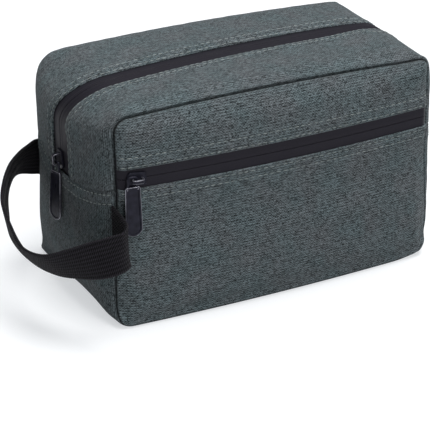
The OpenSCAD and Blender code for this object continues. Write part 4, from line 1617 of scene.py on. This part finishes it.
# depths of the layers behind the outer face
POCKET_D = SHELL_T + LAYER_GAP
FRONT_FOAM_D = POCKET_D + LINING_T + LAYER_GAP
FRONT_LINING_D = FRONT_FOAM_D + FOAM_T + LAYER_GAP
BACK_LINING_D = POCKET_D + FOAM_T + LAYER_GAP
FLAT_INNER = (2 * (HALF_L - INNER_EDGE), BAG_H - 2 * INNER_EDGE)
pocket_backing = inner_front("pocket_backing_cloth", "pocket_backing", POCKET_D, LINED)
front_lining = inner_front("front_lining_cloth", "front_lining", FRONT_LINING_D, LINED)
back_lining = inner_back("back_lining_cloth", "back_lining", BACK_LINING_D, LINED)
for piece in (pocket_backing, front_lining, back_lining):
    cut(piece, *FLAT_INNER, "stretched")
base_lining_reach = base_reach(0.0) - BASE_LINING_SHORT
base_lining = inner_base("base_lining_cloth", "base_lining", base_lining_reach, BACK_LINING_D, LINED)
cut(base_lining, 2 * INNER_HALF_W, 2 * base_lining_reach, "stretched")
inner_top("top_lining_front_cloth", "top_lining_front", -1)
inner_top("top_lining_rear_cloth", "top_lining_rear", 1)
base_foam_reach = base_reach(0.0) - BASE_FOAM_SHORT
front_foam = inner_front("front_foam_pad", "front_foam", FRONT_FOAM_D, PADDED)
back_foam = inner_back("back_foam_pad", "back_foam", POCKET_D, PADDED)
base_foam = inner_base("base_foam_pad", "base_foam", base_foam_reach, POCKET_D, PADDED)


def outline(inset, r_top, r_base, y):
    """Closed line that follows the panel outline at a distance inside it."""
    x, low, high = HALF_L - inset, inset, BAG_H - inset
    right = arc(x - r_base, low + r_base, r_base, -90, 0, 12) + arc(x - r_top, high - r_top, r_top, 0, 90, 12)
    right += [(x * share, high) for share in (0.75, 0.5, 0.25)]
    left = [(-px, pz) for px, pz in right[::-1]]
    flat = np.array(right + [(0, high)] + left + [(0, low), right[0]])
    return arched(flat[:, 0], np.full(len(flat), y), flat[:, 1])


def binding(name, node):
    """Bound seam allowance: a flat folded tape that follows the panel outline inside."""
    low, high = (np.array(corner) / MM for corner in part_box(node))
    half_t = (high[1] - low[1]) / 2
    line = outline(low[2] + BINDING_W / 2, BINDING_TOP_R, BINDING_BASE_R, low[1] + half_t)
    ahead = unit(np.roll(line[:-1], -1, axis=0) - np.roll(line[:-1], 1, axis=0))
    ahead = np.concatenate([ahead, ahead[:1]])
    facing = np.tile([0.0, 1.0, 0.0], (len(line), 1))
    section = webbing_section(BINDING_W / 2, half_t, 6)
    mesh = tube_mesh(name, line, np.cross(ahead, facing), facing, section, True, run_of(line))
    sewn_to(added(name, mesh, BOUND), "bag", "binding", node)


binding("front_binding_fold", "front_binding")
binding("back_binding_fold", "back_binding")


# STAGE

floor_bm = bmesh.new()
bmesh.ops.create_grid(floor_bm, x_segments=8, y_segments=8, size=6)
floor_mesh = bpy.data.meshes.new("floor")
floor_bm.to_mesh(floor_mesh)
floor_bm.free()
floor_finish = Finish("pale_floor", roughness=0.9, specular_ior_level=0.1, emission_strength=1)
floor_tone = floor_finish.noise(floor_finish.place(), scale=3.0)
floor_grey = floor_finish.mix(floor_tone, (0.47, 0.47, 0.475, 1), (0.48, 0.48, 0.482, 1))
floor_finish.set("Base Color", floor_grey)
# the floor glows for the camera and in reflections only, so that it looks pale and adds no soft light
ray_kinds = ("Is Camera Ray", "Is Glossy Ray", "Is Transmission Ray")
seen_by = [floor_finish.node("ShaderNodeLightPath", {}, {}, kind) for kind in ray_kinds]
seen = seen_by[0] + seen_by[1] + seen_by[2]
floor_finish.set("Emission Color", floor_finish.mix(seen, (0, 0, 0, 1), (0.55, 0.565, 0.58, 1)))
added("floor", floor_mesh, floor_finish.material)

world = bpy.data.worlds.new("studio")
bpy.context.scene.world = world
world.use_nodes = True
world.node_tree.nodes["Background"].inputs["Color"].default_value = (0.95, 0.98, 1.0, 1)
world.node_tree.nodes["Background"].inputs["Strength"].default_value = 0.2


def soft_sun(name, towards, strength, angle):
    lamp = bpy.data.lights.new(name, "SUN")
    lamp.energy = strength
    lamp.angle = math.radians(angle)
    holder = bpy.data.objects.new(name, lamp)
    bpy.context.scene.collection.objects.link(holder)
    holder.rotation_euler = Vector(towards).to_track_quat("-Z", "Y").to_euler()


soft_sun("overhead", (-0.2, 0.0, -1.0), 2.9, 38)
soft_sun("front_right", (-0.15, 0.8, -0.45), 1.3, 50)


# CAMERA

AZIMUTH = math.radians(-26.263)
ELEVATION = math.radians(24.007)
ROLL = math.radians(-0.695)
DISTANCE = 1.10161
TARGET = Vector((0, 0, 0.06682))
back_way = Vector((math.sin(AZIMUTH) * math.cos(ELEVATION), -math.cos(AZIMUTH) * math.cos(ELEVATION),
                   math.sin(ELEVATION)))
right_way = Vector((math.cos(AZIMUTH), math.sin(AZIMUTH), 0))
up_way = back_way.cross(right_way)
camera_data = bpy.data.cameras.new("camera")
camera_data.sensor_width = 36
camera_data.lens = 144.98
camera_data.shift_x = -0.0392
camera_data.shift_y = -0.1355
camera_data.clip_start = 0.05
camera_data.clip_end = 50
camera = bpy.data.objects.new("camera", camera_data)
bpy.context.scene.collection.objects.link(camera)
rolled_right = math.cos(ROLL) * right_way + math.sin(ROLL) * up_way
rolled_up = -math.sin(ROLL) * right_way + math.cos(ROLL) * up_way
camera_turn = Matrix((rolled_right, rolled_up, back_way)).transposed().to_quaternion()
camera.matrix_world = Matrix.LocRotScale(TARGET + DISTANCE * back_way, camera_turn, None)
bpy.context.scene.camera = camera
bpy.context.scene.view_settings.view_transform = "Standard"
